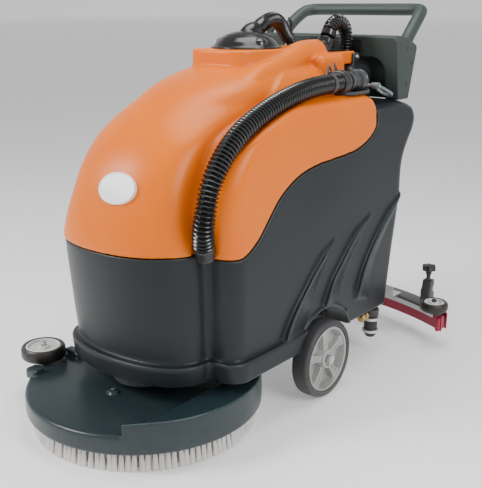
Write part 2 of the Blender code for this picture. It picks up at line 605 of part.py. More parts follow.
def brush_drive():
    top = DECK_LOW_Z + 0.008 + GAP
    gearbox = cylinder("gearbox", 0.070, 0.050, (0, -0.004, top + 0.025), MOTOR)
    bevel(gearbox, 0.005)
    cylinder("brush_motor", 0.062, 0.140, (0, -0.004, top + 0.050 + GAP + 0.070), MOTOR)
    disc = cylinder("brush_plate", 0.2500, 0.0160, (0, 0, 0.0700), BLACK, sides=36)
    join(disc, cylinder("drive_hub", 0.040, 0.0240, (0, 0, 0.0880)))
    bristles = [(0.2500, 0.0616), (BRUSH_R, 0.0), (0.2050, 0.0), (0.2050, 0.0616)]
    turned("bristle_ring", bristles, (0, 0, 0), BRISTLE, steps=36, ring=True)


# ---------------------------------------------------------------- squeegee
BOW_R = 0.785
BOW_Y = 0.140


def bow(name, r_in, r_out, half_width, low, high, look, count=12):
    """Upright band that follows the squeegee's bow."""
    outer = math.degrees(math.asin(half_width / r_out))
    inner = math.degrees(math.asin(half_width / r_in))
    outline = arc((0, 0), r_out, 90 - outer, 90 + outer, count)
    outline += arc((0, 0), r_in, 90 + inner, 90 - inner, count)
    return plate(name, outline, high - low, (0, BOW_Y, (high + low) / 2), look)


def squeegee():
    top = 0.0970
    body = bow("squeegee_body", BOW_R - 0.026, BOW_R + 0.022, 0.366, top, top + 0.007, BLACK)
    core = bow("squeegee_core", BOW_R - 0.0110, BOW_R + 0.0110, 0.352, 0.070, top + 0.001, None)
    inlet_y = 0.896
    nozzle = cylinder("pickup_nozzle", 0.0230, 0.058, (INLET_X - 0.008, inlet_y, 0.131))
    join(body, core, nozzle)
    bow("blade_front", BOW_R - 0.0165, BOW_R - 0.0126, SQUEEGEE_X, BLADE_LOW_Z, top - GAP, RED)
    bow("blade_rear", BOW_R + 0.0126, BOW_R + 0.0165, SQUEEGEE_X, BLADE_LOW_Z - 0.002, top - GAP, RED)
    deck_z = top + 0.007 + GAP
    carrier = box("squeegee_carrier", (0.404, 0.060, 0.005), (0, 0.862, deck_z + 0.0025), ZINC)
    join(carrier, box("carrier_front", (0.404, 0.004, 0.036), (0, 0.834, deck_z + 0.018)))
    join(carrier, box("carrier_tongue", (0.060, 0.100, 0.005), (0, SWIVEL_Y + 0.020, deck_z + 0.0025)))
    cut(carrier, cylinder("nozzle_gap", 0.0240, 0.040, (INLET_X - 0.008, inlet_y, deck_z), sides=20))
    cut(carrier, cylinder("swivel_hole", 0.0064, 0.040, (0, SWIVEL_Y, deck_z), sides=12))
    for side, word in ((1, "left"), (-1, "right")):
        x = side * 0.300
        post = box("knob_bracket", (0.028, 0.034, 0.076), (x, 0.862, top + 0.0055 + 0.038), round_edges=0.003)
        join(body, cut(post, box("bracket_notch", (0.040, 0.020, 0.030), (x, 0.851, deck_z + 0.054))))
        knob = [(0.0, 0.0460), (0.0170, 0.0450), (0.0205, 0.0400), (0.0205, 0.0320), (0.0150, 0.0280),
                (0.0060, 0.0270), (0.0060, 0.0), (0.0, 0.0)]
        turned("squeegee_knob_" + word, knob, (x, 0.864, deck_z + 0.074 + GAP), BLACK, steps=20)
        roller("squeegee_roller_" + word, body, side * 0.3440, 0.8200, deck_z + 0.002, 0.0400, 0.0270)
        ear = cylinder("roller_ear", 0.012, 0.0070, (side * 0.3440, 0.8200, top + 0.0035), sides=16)
        join(body, ear)


def squeegee_arm():
    pivot = cylinder("squeegee_arm", 0.0130, 0.060, (0, ARM_PIVOT_Y, ARM_PIVOT_Z), ZINC, "X", 20)
    bar_z = 0.1130 + GAP + 0.004
    bar = [(ARM_PIVOT_Y + 0.009, bar_z - 0.004), (ARM_PIVOT_Y + 0.009, bar_z + 0.004),
           (SWIVEL_Y + 0.018, bar_z + 0.004), (SWIVEL_Y + 0.018, bar_z - 0.004)]
    join(pivot, side_prism("arm_bar", bar, 0.044))
    cut(pivot, cylinder("pivot_bore", 0.0064, 0.120, (0, ARM_PIVOT_Y, ARM_PIVOT_Z), axis="X", sides=12))
    cut(pivot, cylinder("swivel_bore", 0.0064, 0.060, (0, SWIVEL_Y, bar_z), sides=12))
    bolt = cylinder("swivel_bolt", 0.0060, 0.024, (0, SWIVEL_Y, 0.1140), STEEL, sides=12)
    join(bolt, cylinder("swivel_head", 0.0110, 0.006, (0, SWIVEL_Y, bar_z + 0.004 + GAP + 0.003), sides=6))


# ---------------------------------------------------------------- console
def handle_route(side_x=HANDLE_X):
    half = [(side_x + 0.010, 0.792, 0.800), (side_x + 0.010, 0.812, 0.850), (side_x + 0.006, 0.862, 0.900),
            (side_x, HANDLE_Y - 0.030, HANDLE_Z - 0.008), (side_x - 0.026, HANDLE_Y - 0.004, HANDLE_Z),
            (side_x - 0.070, HANDLE_Y, HANDLE_Z)]
    return half + [(0.0, HANDLE_Y, HANDLE_Z)] + [(-x, y, z) for x, y, z in reversed(half)]


def console():
    top = CONSOLE_TOP_Z
    side = [(0.7300, top), (0.7800, top), (0.8420, top - 0.030), (0.8060, 0.7040), (0.7500, 0.7040)]
    housing = side_prism("console_housing", side, 2 * CONSOLE_X, CONSOLE_GREY)
    bevel(housing, 0.008, 2)
    route = handle_route()
    socket = [Vector(route[0]) - Vector((0, 0.001, 0.003))] + route[1:-1] + [Vector(route[-1]) - Vector((0, 0.001, 0.003))]
    cutters = [box("hose_recess", (0.380, 0.100, 0.130), (0, 0.728, 0.7500), round_edges=0.020),
               tube("handle_socket", socket, HANDLE_R + 3 * GAP, step=0.03, sides=3)]
    cut(housing, *cutters)
    tube("handle_bar", handle_route(), HANDLE_R, CONSOLE_GREY, step=0.03, sides=3)
    slope = -math.atan2(0.030, 0.062)
    panel_at = Vector((0, 0.811, top - 0.015))
    lift = Vector((0, math.sin(-slope), math.cos(slope)))
    panel = box("control_panel", (0.300, 0.054, 0.003), panel_at + lift * (0.0015 + GAP), BLACK, turn=(slope, 0, 0))
    button_base = panel_at + lift * (0.003 + 2 * GAP)
    for i, word in enumerate(("brush_button", "vacuum_button")):
        at = button_base + Vector((-0.080 + i * 0.050, 0, 0)) + lift * 0.004
        cylinder(word, 0.0090, 0.0080, at, GREEN, sides=16).rotation_euler = (slope, 0, 0)
        hole = cylinder("button_hole", 0.0096, 0.0100, at - lift * 0.0055, sides=16)
        hole.rotation_euler = (slope, 0, 0)
        cut(panel, hole)
    key = cylinder("key_switch", 0.0110, 0.0100, button_base + Vector((0.020, 0, 0)) + lift * 0.005, STEEL, sides=16)
    join(key, box("key_bow", (0.003, 0.018, 0.016), (0.020, 0.811 + 0.009, top + 0.006)))
    key.rotation_euler = (slope, 0, 0)
    box("label_plate", (0.050, 0.002, 0.034), (0.098, 0.7300 - 0.001 - GAP, 0.844), BLACK)


def levers():
    """Squeegee lift lever on the console and foot pedal of the brush deck."""
    lever = tube("squeegee_lever", [(-0.246, 0.780, 0.780), (-0.250, 0.800, 0.850), (-0.250, 0.830, 0.900)],
                 0.0060, BLACK, step=0.03)
    hub = cylinder("lever_hub", 0.0160, 0.0120, (-0.2390, 0.7800, 0.7800), axis="X", sides=16)
    ball = cylinder("lever_grip", 0.0110, 0.040, (-0.250, 0.826, 0.892), sides=16)
    ball.rotation_euler = (-0.52, 0, 0)
    join(lever, hub, ball)
    pedal = box("lift_pedal", (0.070, 0.040, 0.010), (-0.195, 0.772, 0.152), BLACK, 0.003)
    shank = side_prism("pedal_shank", [(PEDAL_Y, PEDAL_Z + 0.007), (PEDAL_Y, PEDAL_Z - 0.007), (0.735, 0.108),
                                       (0.780, 0.146), (0.774, 0.152), (0.728, 0.121)], 0.012)
    shank.location = (-0.168, 0, 0)
    hub = cylinder("pedal_hub", 0.0100, 0.012, (-0.168, PEDAL_Y, PEDAL_Z), axis="X", sides=16)
    join(pedal, shank, hub)
    cut(pedal, cylinder("pedal_bore", 0.0055, 0.040, (-0.168, PEDAL_Y, PEDAL_Z), axis="X", sides=12))


def tank_latch():
    """Finger loop that hangs on a pin beside the column top."""
    at = (LATCH_X, LATCH_Y, LATCH_Z)
    turn = (math.radians(-22), 0, 0)
    loop = [(-0.008, 0.0), (0.008, 0.0), (0.012, 0.050), (0.008, 0.084), (-0.008, 0.084), (-0.012, 0.050)]
    hole = [(-0.004, 0.024), (0.004, 0.024), (0.007, 0.050), (0.004, 0.076), (-0.004, 0.076), (-0.007, 0.050)]
    latch = cylinder("tank_latch", 0.0080, 0.020, at, SILVER, "X", 16)
    join(latch, plate("latch_loop", loop, 0.007, at, None, turn))
    cut(latch, plate("finger_hole", hole, 0.030, at, None, turn))
    cut(latch, cylinder("latch_bore", 0.0047, 0.060, at, axis="X", sides=12))


def fittings():
    """Filter, brass valve, fill cap and hinge pins."""
    turned("water_filter", [(0.0, 0.132), (0.014, 0.132), (0.022, 0.128), (0.022, 0.104), (0.019, 0.102),
                                   (0.019, 0.052), (0.014, 0.046), (0.0, 0.046)], (0.226, 0.668, 0), BLACK, steps=20)
    valve = cylinder("brass_valve", 0.0100, 0.036, (0.226, 0.668 - 0.0225 - 0.018, 0.116), BRASS, "Y", 16)
    join(valve, cylinder("valve_nut", 0.0140, 0.012, (0.226, 0.626, 0.116), axis="Y", sides=6))
    cylinder("fill_cap", 0.0360, 0.020, (-0.120, BODY_REAR_Y + 0.0150, 0.510), BLACK, "Y", 28)
    for side, word in ((1, "left"), (-1, "right")):
        cylinder("hinge_pin_" + word, 0.0050, 0.052, (side * HINGE_X, HINGE_Y, HINGE_Z), STEEL, "X", 12)


# ---------------------------------------------------------------- main
def main():
    solution_tank()
    recovery_tank()
    tank_fittings()
    tank_lid()
    suction_hoses()
    power_pack()
    chassis()
    for word, side in (("left", 1), ("right", -1)):
        wheel(word, side)
        caster(word, side)
    brush_deck()
    brush_drive()
    squeegee()
    squeegee_arm()
    console()
    levers()
    tank_latch()
    fittings()


main()
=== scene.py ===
"""Looks of a walk-behind floor scrubber-dryer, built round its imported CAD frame.

Lengths are in metres.  Shapes are drawn in the deck frame, whose upright axis
is the brush axis, and Workshop.finish moves each piece to the row frame.
"""

import logging
import math
import random
from dataclasses import dataclass
from enum import Enum
from typing import Iterable, Optional, Sequence, Union

import bmesh
import bpy
import numpy as np
from mathutils import Matrix, Vector


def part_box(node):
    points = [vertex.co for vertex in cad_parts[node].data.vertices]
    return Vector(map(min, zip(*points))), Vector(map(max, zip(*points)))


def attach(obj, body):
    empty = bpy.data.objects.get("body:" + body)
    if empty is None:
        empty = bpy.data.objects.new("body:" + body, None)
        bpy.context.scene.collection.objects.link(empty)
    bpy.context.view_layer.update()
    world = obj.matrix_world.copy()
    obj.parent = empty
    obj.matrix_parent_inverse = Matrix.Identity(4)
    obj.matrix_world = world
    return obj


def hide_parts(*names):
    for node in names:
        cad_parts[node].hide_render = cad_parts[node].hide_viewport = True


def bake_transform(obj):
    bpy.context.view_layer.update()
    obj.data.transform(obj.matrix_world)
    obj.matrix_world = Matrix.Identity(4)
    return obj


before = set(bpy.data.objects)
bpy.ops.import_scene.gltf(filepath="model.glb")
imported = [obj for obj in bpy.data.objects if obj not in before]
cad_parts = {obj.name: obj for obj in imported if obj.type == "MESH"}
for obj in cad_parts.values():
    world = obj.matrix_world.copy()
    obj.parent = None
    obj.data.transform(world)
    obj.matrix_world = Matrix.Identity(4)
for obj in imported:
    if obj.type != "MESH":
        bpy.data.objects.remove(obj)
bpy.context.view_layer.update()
LOG = logging.getLogger("scrubber")

Colour = tuple[float, float, float]
Point = Sequence[float]
Outline = list[tuple[float, float]]
Number = Union[float, "Wire"]

BRUSH_LOW, BRUSH_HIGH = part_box("brush_plate")
BRUSH_AXIS_Y = (BRUSH_LOW.y + BRUSH_HIGH.y) / 2
HINGE = (0.130, 0.660, 0.820)


class Op(Enum):
    """The ways one solid works on another."""

    JOIN = "UNION"
    CUT = "DIFFERENCE"


class Axis(Enum):
    """The axis that a prism or a turned piece runs along."""

    X = "X"
    Y = "Y"
    Z = "Z"


# ---------------------------------------------------------------- finishes
class Wire:
    """A node's output that Python's operators work on."""

    def __init__(self, paint: "Paint", socket: bpy.types.NodeSocket) -> None:
        """Keep the output and the paint that it belongs to."""
        self.paint = paint
        self.socket = socket

    def _math(self, operation: str, first: Number, second: Number) -> "Wire":
        """Add one Math node for two values."""
        return self.paint.node("ShaderNodeMath", {"operation": operation}, {0: first, 1: second})

    def __add__(self, other: Number) -> "Wire":
        """Return the sum."""
        return self._math("ADD", self, other)

    def __sub__(self, other: Number) -> "Wire":
        """Return the difference."""
        return self._math("SUBTRACT", self, other)

    def __rsub__(self, other: Number) -> "Wire":
        """Return the difference from a number."""
        return self._math("SUBTRACT", other, self)

    def __mul__(self, other: Number) -> "Wire":
        """Return the product."""
        return self._math("MULTIPLY", self, other)

    __radd__ = __add__
    __rmul__ = __mul__

    def window(self, low: float, high: float) -> "Wire":
        """Return 0 below low, 1 above high and a smooth rise between."""
        values = {0: self, 1: low, 2: high}
        return self.paint.node("ShaderNodeMapRange", {"interpolation_type": "SMOOTHSTEP"}, values)


class Paint:
    """The node tree of one material."""

    def __init__(self, name: str) -> None:
        """Make a material that holds only its Principled shader.

        Args:
            name: the material's name.
        """
        self.material = bpy.data.materials.new(name)
        self.material.use_nodes = True
        self.tree = self.material.node_tree
        self.shader = self.tree.nodes["Principled BSDF"]

    def feed(self, socket: bpy.types.NodeSocket, value: object) -> None:
        """Link a wire to a socket, or set its value.

        Args:
            socket: the input to feed.
            value: a wire, a number, a colour or a vector.
        """
        if isinstance(value, Wire):
            self.tree.links.new(value.socket, socket)
        else:
            socket.default_value = value

    def node(self, kind: str, settings: Optional[dict] = None, values: Optional[dict] = None,
             output: Union[int, str] = 0) -> Wire:
        """Add a node.

        Args:
            kind: the node's type.
            settings: attributes, set first.
            values: numbers or wires for its inputs, by index or name.
            output: which output to return.

        Returns:
            The chosen output as a wire.
        """
        made = self.tree.nodes.new(kind)
        for key, value in (settings or {}).items():
            setattr(made, key, value)
        for key, value in (values or {}).items():
            self.feed(made.inputs[key], value)
        return Wire(self, made.outputs[output])

    def place(self, stretch: Point = (1, 1, 1)) -> Wire:
        """Return the object's own coordinates, scaled along each axis."""
        spot = self.node("ShaderNodeTexCoord", output="Object")
        return self.node("ShaderNodeVectorMath", {"operation": "MULTIPLY"},
                         {0: spot, 1: tuple(stretch)})

    def noise(self, where: Wire, scale: float, detail: float = 3.0) -> Wire:
        """Return soft noise between 0 and 1."""
        return self.node("ShaderNodeTexNoise", None,
                         {"Vector": where, "Scale": scale, "Detail": detail})

    def blend(self, share: Number, first: object, second: object) -> Wire:
        """Mix two colours."""
        values = {0: share, 6: self.full(first), 7: self.full(second)}
        return self.node("ShaderNodeMix", {"data_type": "RGBA"}, values, 2)

    @staticmethod
    def full(colour: object) -> object:
        """Give a plain colour its alpha; a wire stays as it is."""
        return colour if isinstance(colour, Wire) else (*colour, 1.0)

    def relief(self, height: Wire, depth: float, below: Optional[Wire] = None) -> Wire:
        """Bend the normal by a height.

        Args:
            height: the height, 0 to 1.
            depth: how deep it goes, in metres.
            below: a normal that is bent already.

        Returns:
            The new normal.
        """
        values: dict = {"Height": height, "Strength": 1.0, "Distance": depth}
        if below is not None:
            values["Normal"] = below
        return self.node("ShaderNodeBump", None, values)


@dataclass(frozen=True)
class Finish:
    """A surface: base colour, patches, fine grain, painted shade in hollows, and lighter edges that
    are partly wear and partly painted highlight.

    The grain is stretched along the axes by `stretch`, for drawn or brushed surfaces.
    """

    name: str
    slot: str
    colour: Colour
    # Colour of convex edges: partly wear, partly painted highlight.
    patch: Colour
    edge: Colour
    rough: float
    rough_spread: float = 0.10
    grain_scale: float = 900.0
    grain_depth: float = 0.00012
    stretch: tuple[float, float, float] = (1.0, 1.0, 1.0)
    metallic: float = 0.0
    coat: float = 0.0
    dust: float = 0.0
    worn_and_lit_edge_at: tuple[float, float] = (0.52, 0.60)
    specular: float = 0.45

    def material(self) -> bpy.types.Material:
        """Return the finish's material, made once."""
        made = bpy.data.materials.get(self.name)
        return made if made else self.build(Paint(self.name))

    def build(self, paint: Paint) -> bpy.types.Material:
        """Wire the nodes.

        Args:
            paint: the empty material.

        Returns:
            The finished material.
        """
        spot = paint.place()
        cloud = paint.noise(spot, 5.0, 4.0)
        fine = paint.noise(paint.place(self.stretch), self.grain_scale, 2.0)
        bend = paint.node("ShaderNodeNewGeometry", output="Pointiness")
        colour = paint.blend(cloud.window(0.35, 0.68), self.colour, self.patch)
        # Convex edges (high pointiness) are lightened towards the edge colour: partly worn edges,
        # partly painted highlight.
        colour = paint.blend(bend.window(*self.worn_and_lit_edge_at) * 0.6, colour, self.edge)
        # Painted shade: concave places (low pointiness) are darkened towards 0.45 of the base
        # colour.
        hollow = (1.0 - bend.window(0.40, 0.49)) * 0.55
        colour = paint.blend(hollow, colour, tuple(0.45 * c for c in self.colour))
        if self.dust:
            height = paint.node("ShaderNodeSeparateXYZ", None, {0: spot}, 2)
            low = (1.0 - height.window(0.0, 0.16)) * paint.noise(spot, 40.0) * self.dust
            colour = paint.blend(low, colour, (0.30, 0.28, 0.26))
        paint.feed(paint.shader.inputs["Base Color"], colour)
        spread = self.rough_spread
        rough = cloud * spread + fine * (spread * 0.6) + (self.rough - 0.8 * spread)
        paint.feed(paint.shader.inputs["Roughness"], rough)
        paint.feed(paint.shader.inputs["Metallic"], self.metallic)
        paint.feed(paint.shader.inputs["Coat Weight"], self.coat)
        paint.shader.inputs["Coat Roughness"].default_value = 0.06
        paint.shader.inputs["Specular IOR Level"].default_value = self.specular
        paint.feed(paint.shader.inputs["Normal"], paint.relief(fine, self.grain_depth))
        return paint.material


ORANGE = Finish("tank_orange", "tank_plastic", (0.78, 0.160, 0.0), (0.74, 0.142, 0.0),
                (1.0, 0.26, 0.01),
                0.34, 0.08, 700.0, 0.00014, specular=0.24)
BODY = Finish("body_charcoal", "body_plastic", (0.0125, 0.0160, 0.0185), (0.0100, 0.0135, 0.0158),
              (0.070, 0.086, 0.092), 0.36, 0.10, 650.0, 0.00016, worn_and_lit_edge_at=(0.51, 0.565),
              specular=0.26)
DECK = Finish("deck_slate", "deck_paint", (0.010, 0.024, 0.029), (0.008, 0.020, 0.025),
              (0.13, 0.19, 0.20),
              0.32, 0.10, 800.0, 0.00008, coat=0.08, dust=0.12, specular=0.35)
CONSOLE = Finish("console_grey", "console_plastic", (0.032, 0.046, 0.042), (0.027, 0.040, 0.036),
                 (0.12, 0.15, 0.14), 0.50, 0.08, 600.0, 0.00025)
GLOSS = Finish("gloss_black", "gloss_black", (0.010, 0.010, 0.011), (0.014, 0.014, 0.015),
               (0.05, 0.05, 0.05),
               0.12, 0.05, 300.0, 0.00002, coat=0.6)
BLACK = Finish("moulded_black", "black_plastic", (0.014, 0.014, 0.015), (0.018, 0.018, 0.019),
               (0.07, 0.07, 0.07), 0.38, 0.10, 700.0, 0.00012)
# The hose's edge colour is painted highlight on the ring crests, and its hollows get painted shade.
HOSE = Finish("ribbed_black", "hose_plastic", (0.0055, 0.0055, 0.006), (0.008, 0.008, 0.0085),
              (0.22, 0.22, 0.20),
              0.20, 0.06, 500.0, 0.00003, worn_and_lit_edge_at=(0.55, 0.74), specular=0.60)
TYRE = Finish("tyre_grey", "tyre_rubber", (0.034, 0.034, 0.038), (0.028, 0.028, 0.031),
              (0.10, 0.10, 0.105),
              0.55, 0.12, 800.0, 0.00015, dust=0.25)
ROLLER = Finish("roller_brown", "roller_rubber", (0.012, 0.009, 0.008), (0.016, 0.012, 0.010),
                (0.07, 0.06, 0.055), 0.42, 0.12, 800.0, 0.00010)
CRIMSON = Finish("blade_crimson", "blade_rubber", (0.24, 0.003, 0.022), (0.20, 0.002, 0.018),
                 (0.50, 0.04, 0.09), 0.42, 0.12, 500.0, 0.00008)
RIM = Finish("rim_silver", "rim_metal", (0.42, 0.43, 0.41), (0.36, 0.37, 0.35), (0.72, 0.73, 0.70),
             0.42, 0.14, 500.0, 0.00018, metallic=0.25, dust=0.2)
STEEL = Finish("bright_steel", "bright_steel", (0.60, 0.61, 0.62), (0.50, 0.51, 0.52),
               (0.8, 0.8, 0.8),
               0.26, 0.12, 300.0, 0.00004, (1.0, 6.0, 6.0), 1.0)
ZINC = Finish("zinc_plate", "zinc_steel", (0.62, 0.64, 0.61), (0.50, 0.53, 0.52),
              (0.85, 0.86, 0.83),
              0.36, 0.16, 60.0, 0.00005, (1.0, 1.0, 4.0), 0.9)
MOTOR = Finish("motor_enamel", "motor_paint", (0.055, 0.060, 0.065), (0.045, 0.050, 0.054),
               (0.15, 0.16, 0.17), 0.42, 0.14, 500.0, 0.00010)
BRASS = Finish("turned_brass", "brass", (0.62, 0.42, 0.16), (0.52, 0.34, 0.12), (0.9, 0.7, 0.4),
               0.26, 0.14, 240.0, 0.00005, (8.0, 1.0, 1.0), 1.0)
BRISTLE = Finish("bristle_white", "bristle", (0.70, 0.68, 0.65), (0.58, 0.55, 0.52),
                 (0.85, 0.83, 0.80),
                 0.55, 0.16, 1400.0, 0.00090, (1.0, 1.0, 0.06), dust=0.35)
WHITE = Finish("hub_white", "white_plastic", (0.66, 0.66, 0.63), (0.58, 0.58, 0.56),
               (0.8, 0.8, 0.78),
               0.34, 0.10, 500.0, 0.00006)
LATCH = Finish("latch_grey", "silver_plastic", (0.13, 0.16, 0.17), (0.11, 0.135, 0.145),
               (0.35, 0.38, 0.39),
               0.40, 0.10, 600.0, 0.00008)
GREEN = Finish("button_green", "button_green", (0.012, 0.20, 0.035), (0.010, 0.17, 0.030),
               (0.1, 0.4, 0.15), 0.25, 0.08, 500.0, 0.00003, coat=0.3)
BATTERY = Finish("battery_case", "black_plastic", (0.030, 0.032, 0.035), (0.024, 0.026, 0.028),
                 (0.10, 0.10, 0.10), 0.5, 0.1, 350.0, 0.00030)


# ---------------------------------------------------------------- mesh work
class Workshop:
    """Mesh tools that every sub-assembly shares."""

    @staticmethod
    def solid(name: str, points: Iterable[Point],
              faces: Iterable[Sequence[int]]) -> bpy.types.Object:
        """Make a closed mesh object.

        Args:
            name: the piece's name.
            points: corners in the deck frame.
            faces: corner indices of each face.

        Returns:
            The object, facing outwards, with doubled corners merged.
        """
        mesh = bpy.data.meshes.new(name)
        mesh.from_pydata([tuple(p) for p in points], [], [tuple(f) for f in faces])
        bm = bmesh.new()
        bm.from_mesh(mesh)
        bmesh.ops.remove_doubles(bm, verts=bm.verts, dist=0.000004)
        bmesh.ops.dissolve_degenerate(bm, edges=bm.edges, dist=0.000002)
        bmesh.ops.recalc_face_normals(bm, faces=bm.faces)
        bm.to_mesh(mesh)
        bm.free()
        made = bpy.data.objects.new(name, mesh)
        bpy.context.scene.collection.objects.link(made)
        return made

    @staticmethod
    def loft(name: str, rings: Sequence[Sequence[Point]], closed: bool = False) -> bpy.types.Object:
        """Skin a stack of rings with the same number of points.

        Args:
            name: the piece's name.
            rings: the rings, in order.
            closed: whether the last ring joins the first.

        Returns:
            The solid.
        """
        count = len(rings[0])
        faces: list[Sequence[int]] = []
        spans = len(rings) if closed else len(rings) - 1
        for k in range(spans):
            low, high = k * count, (k + 1) % len(rings) * count
            for i in range(count):
                j = (i + 1) % count
                faces.append((low + i, low + j, high + j, high + i))
        if not closed:
            faces.append(tuple(range(count)))
            faces.append(tuple(range((len(rings) - 1) * count, len(rings) * count)))
        return Workshop.solid(name, [p for ring in rings for p in ring], faces)

    @staticmethod
    def turned(name: str, profile: Outline, at: Point, axis: Axis = Axis.Z,
               steps: int = 48) -> bpy.types.Object:
        """Turn a closed profile of (radius, height) points about an axis.

        Args:
            name: the piece's name.
            profile: the profile's corners.
            at: the middle, height 0 on the axis.
            axis: the axis to turn about.
            steps: how many facets go round.

        Returns:
            The solid.
        """
        rings = []
        for k in range(steps):
            turn = 2 * math.pi * k / steps
            ring = []
            for radius, height in profile:
                a, b = radius * math.cos(turn), radius * math.sin(turn)
                spot = {Axis.Z: (a, b, height), Axis.X: (height, a, b),
                        Axis.Y: (b, height, a)}[axis]
                ring.append(tuple(p + q for p, q in zip(spot, at)))
            rings.append(ring)
        return Workshop.shade(Workshop.loft(name, rings, True), 32)

    @staticmethod
    def prism(name: str, outline: Outline, low: float, high: float,
              axis: Axis = Axis.Z) -> bpy.types.Object:
        """Extrude an outline along an axis; an X prism is drawn in (y, z).

        Args:
            name: the piece's name.
            outline: the corners, in order.
            low: where it starts along the axis.
            high: where it ends.
            axis: the axis to extrude along.

        Returns:
            The solid.
        """
        def spot(a: float, b: float, t: float) -> Point:
            """Return a corner of the prism."""
            return {Axis.Z: (a, b, t), Axis.X: (t, a, b), Axis.Y: (a, t, b)}[axis]
        return Workshop.loft(name, [[spot(a, b, t) for a, b in outline] for t in (low, high)])

    @staticmethod
    def block(name: str, low: Point, high: Point) -> bpy.types.Object:
        """Make a rectangular block from its two corners."""
        outline = [(low[0], low[1]), (high[0], low[1]), (high[0], high[1]), (low[0], high[1])]
        return Workshop.prism(name, outline, low[2], high[2])

    @staticmethod
    def rod(name: str, radius: float, start: Point, end: Point,
            sides: int = 32) -> bpy.types.Object:
        """Make a round bar between two points."""
        return Workshop.sweep(name, [Vector(start), Vector(end)], [radius, radius], sides)

    @staticmethod
    def route(points: Sequence[Point], step: float) -> list[Vector]:
        """Follow the smooth curve through some points.

        Args:
            points: what the curve goes through.
            step: the wanted distance between results.

        Returns:
            Evenly spaced points along the curve.
        """
        pts = np.array(points, float)
        pts = np.vstack([2 * pts[0] - pts[1], pts, 2 * pts[-1] - pts[-2]])
        dense = []
        for a, b, c, d in zip(pts, pts[1:], pts[2:], pts[3:]):
            for t in np.linspace(0, 1, 24, endpoint=False):
                dense.append(0.5 * (2 * b + (c - a) * t + (2 * a - 5 * b + 4 * c - d) * t ** 2
                                    + (3 * b - a - 3 * c + d) * t ** 3))
        dense = np.array(dense + [pts[-2]])
        length = np.concatenate([[0], np.cumsum(np.linalg.norm(np.diff(dense, axis=0), axis=1))])
        count = max(2, round(length[-1] / step))
        along = np.linspace(0, length[-1], count + 1)
        return [Vector([np.interp(s, length, dense[:, k]) for k in range(3)]) for s in along]

    @staticmethod
    def sweep(name: str, path: Sequence[Vector], radii: Sequence[float],
              sides: int = 20) -> bpy.types.Object:
        """Skin a round tube of changing radius along a path.

        Args:
            name: the piece's name.
            path: its middle line.
            radii: one radius for each point of the path.
            sides: how many facets go round.

        Returns:
            The closed tube.
        """
        rings = []
        side = None
        for k, spot in enumerate(path):
            ahead = (path[min(k + 1, len(path) - 1)] - path[max(k - 1, 0)]).normalized()
            if side is None:
                side = ahead.orthogonal()
            side = (side - ahead * side.dot(ahead)).normalized()
            other = ahead.cross(side)
            turns = [2 * math.pi * i / sides for i in range(sides)]
            rings.append([spot + (side * math.cos(t) + other * math.sin(t)) * radii[k]
                          for t in turns])
        return Workshop.shade(Workshop.loft(name, rings), 50)

    @staticmethod
    def settle(made: bpy.types.Object) -> bpy.types.Object:
        """Apply the modifiers, so that the mesh is what shows.

        Args:
            made: the piece.

        Returns:
            The same piece.
        """
        graph = bpy.context.evaluated_depsgraph_get()
        mesh = bpy.data.meshes.new_from_object(made.evaluated_get(graph))
        made.modifiers.clear()
        made.data = mesh
        return made

    @staticmethod
    def carve(made: bpy.types.Object, op: Op, *others: bpy.types.Object) -> bpy.types.Object:
        """Join solids to a piece, or cut them out of it, and remove them.

        Args:
            made: the piece that is worked on.
            op: whether to join or to cut.
            others: the solids to use.

        Returns:
            The piece.
        """
        for other in others:
            mod = made.modifiers.new(other.name, "BOOLEAN")
            mod.operation = op.value
            mod.solver = "EXACT"
            mod.object = other
        Workshop.settle(made)
        for other in others:
            bpy.data.objects.remove(other, do_unlink=True)
        return made

    @staticmethod
    def soften(made: bpy.types.Object, voxel: float, rounds: int) -> bpy.types.Object:
        """Remesh a solid as one even skin with soft edges, like a blown or rotation moulding.

        Args:
            made: the solid.
            voxel: the size of the new faces.
            rounds: how often the skin is smoothed.

        Returns:
            The piece.
        """
        skin = made.modifiers.new("skin", "REMESH")
        skin.mode = "VOXEL"
        skin.voxel_size = voxel
        skin.use_smooth_shade = True
        ease = made.modifiers.new("ease", "SMOOTH")
        ease.factor = 0.5
        ease.iterations = rounds
        return Workshop.settle(made)

    @staticmethod
    def rounded(made: bpy.types.Object, width: float, segments: int = 2) -> bpy.types.Object:
        """Round the sharp edges of a solid.

        Args:
            made: the solid.
            width: the width of the rounding.
            segments: how many facets it has.

        Returns:
            The same solid.
        """
        mod = made.modifiers.new("rounding", "BEVEL")
        mod.width = width
        mod.segments = segments
        mod.limit_method = "ANGLE"
        mod.angle_limit = math.radians(36)
        Workshop.settle(made)
        return Workshop.shade(made, 38)

    @staticmethod
    def shade(made: bpy.types.Object, angle: float) -> bpy.types.Object:
        """Shade smooth, with creases.

        Args:
            made: the piece.
            angle: the smallest angle that stays a crease, in degrees.

        Returns:
            The same piece.
        """
        made.data.shade_smooth()
        made.data.set_sharp_from_angle(angle=math.radians(angle))
        return made

    @staticmethod
    def gather(name: str, pieces: Sequence[bpy.types.Object]) -> bpy.types.Object:
        """Put separate solids of one material into one mesh.

        Args:
            name: the new piece's name.
            pieces: the solids, which are removed.

        Returns:
            The new piece.
        """
        bm = bmesh.new()
        for piece in pieces:
            bm.from_mesh(piece.data)
            bpy.data.objects.remove(piece, do_unlink=True)
        mesh = bpy.data.meshes.new(name)
        bm.to_mesh(mesh)
        bm.free()
        made = bpy.data.objects.new(name, mesh)
        bpy.context.scene.collection.objects.link(made)
        return made

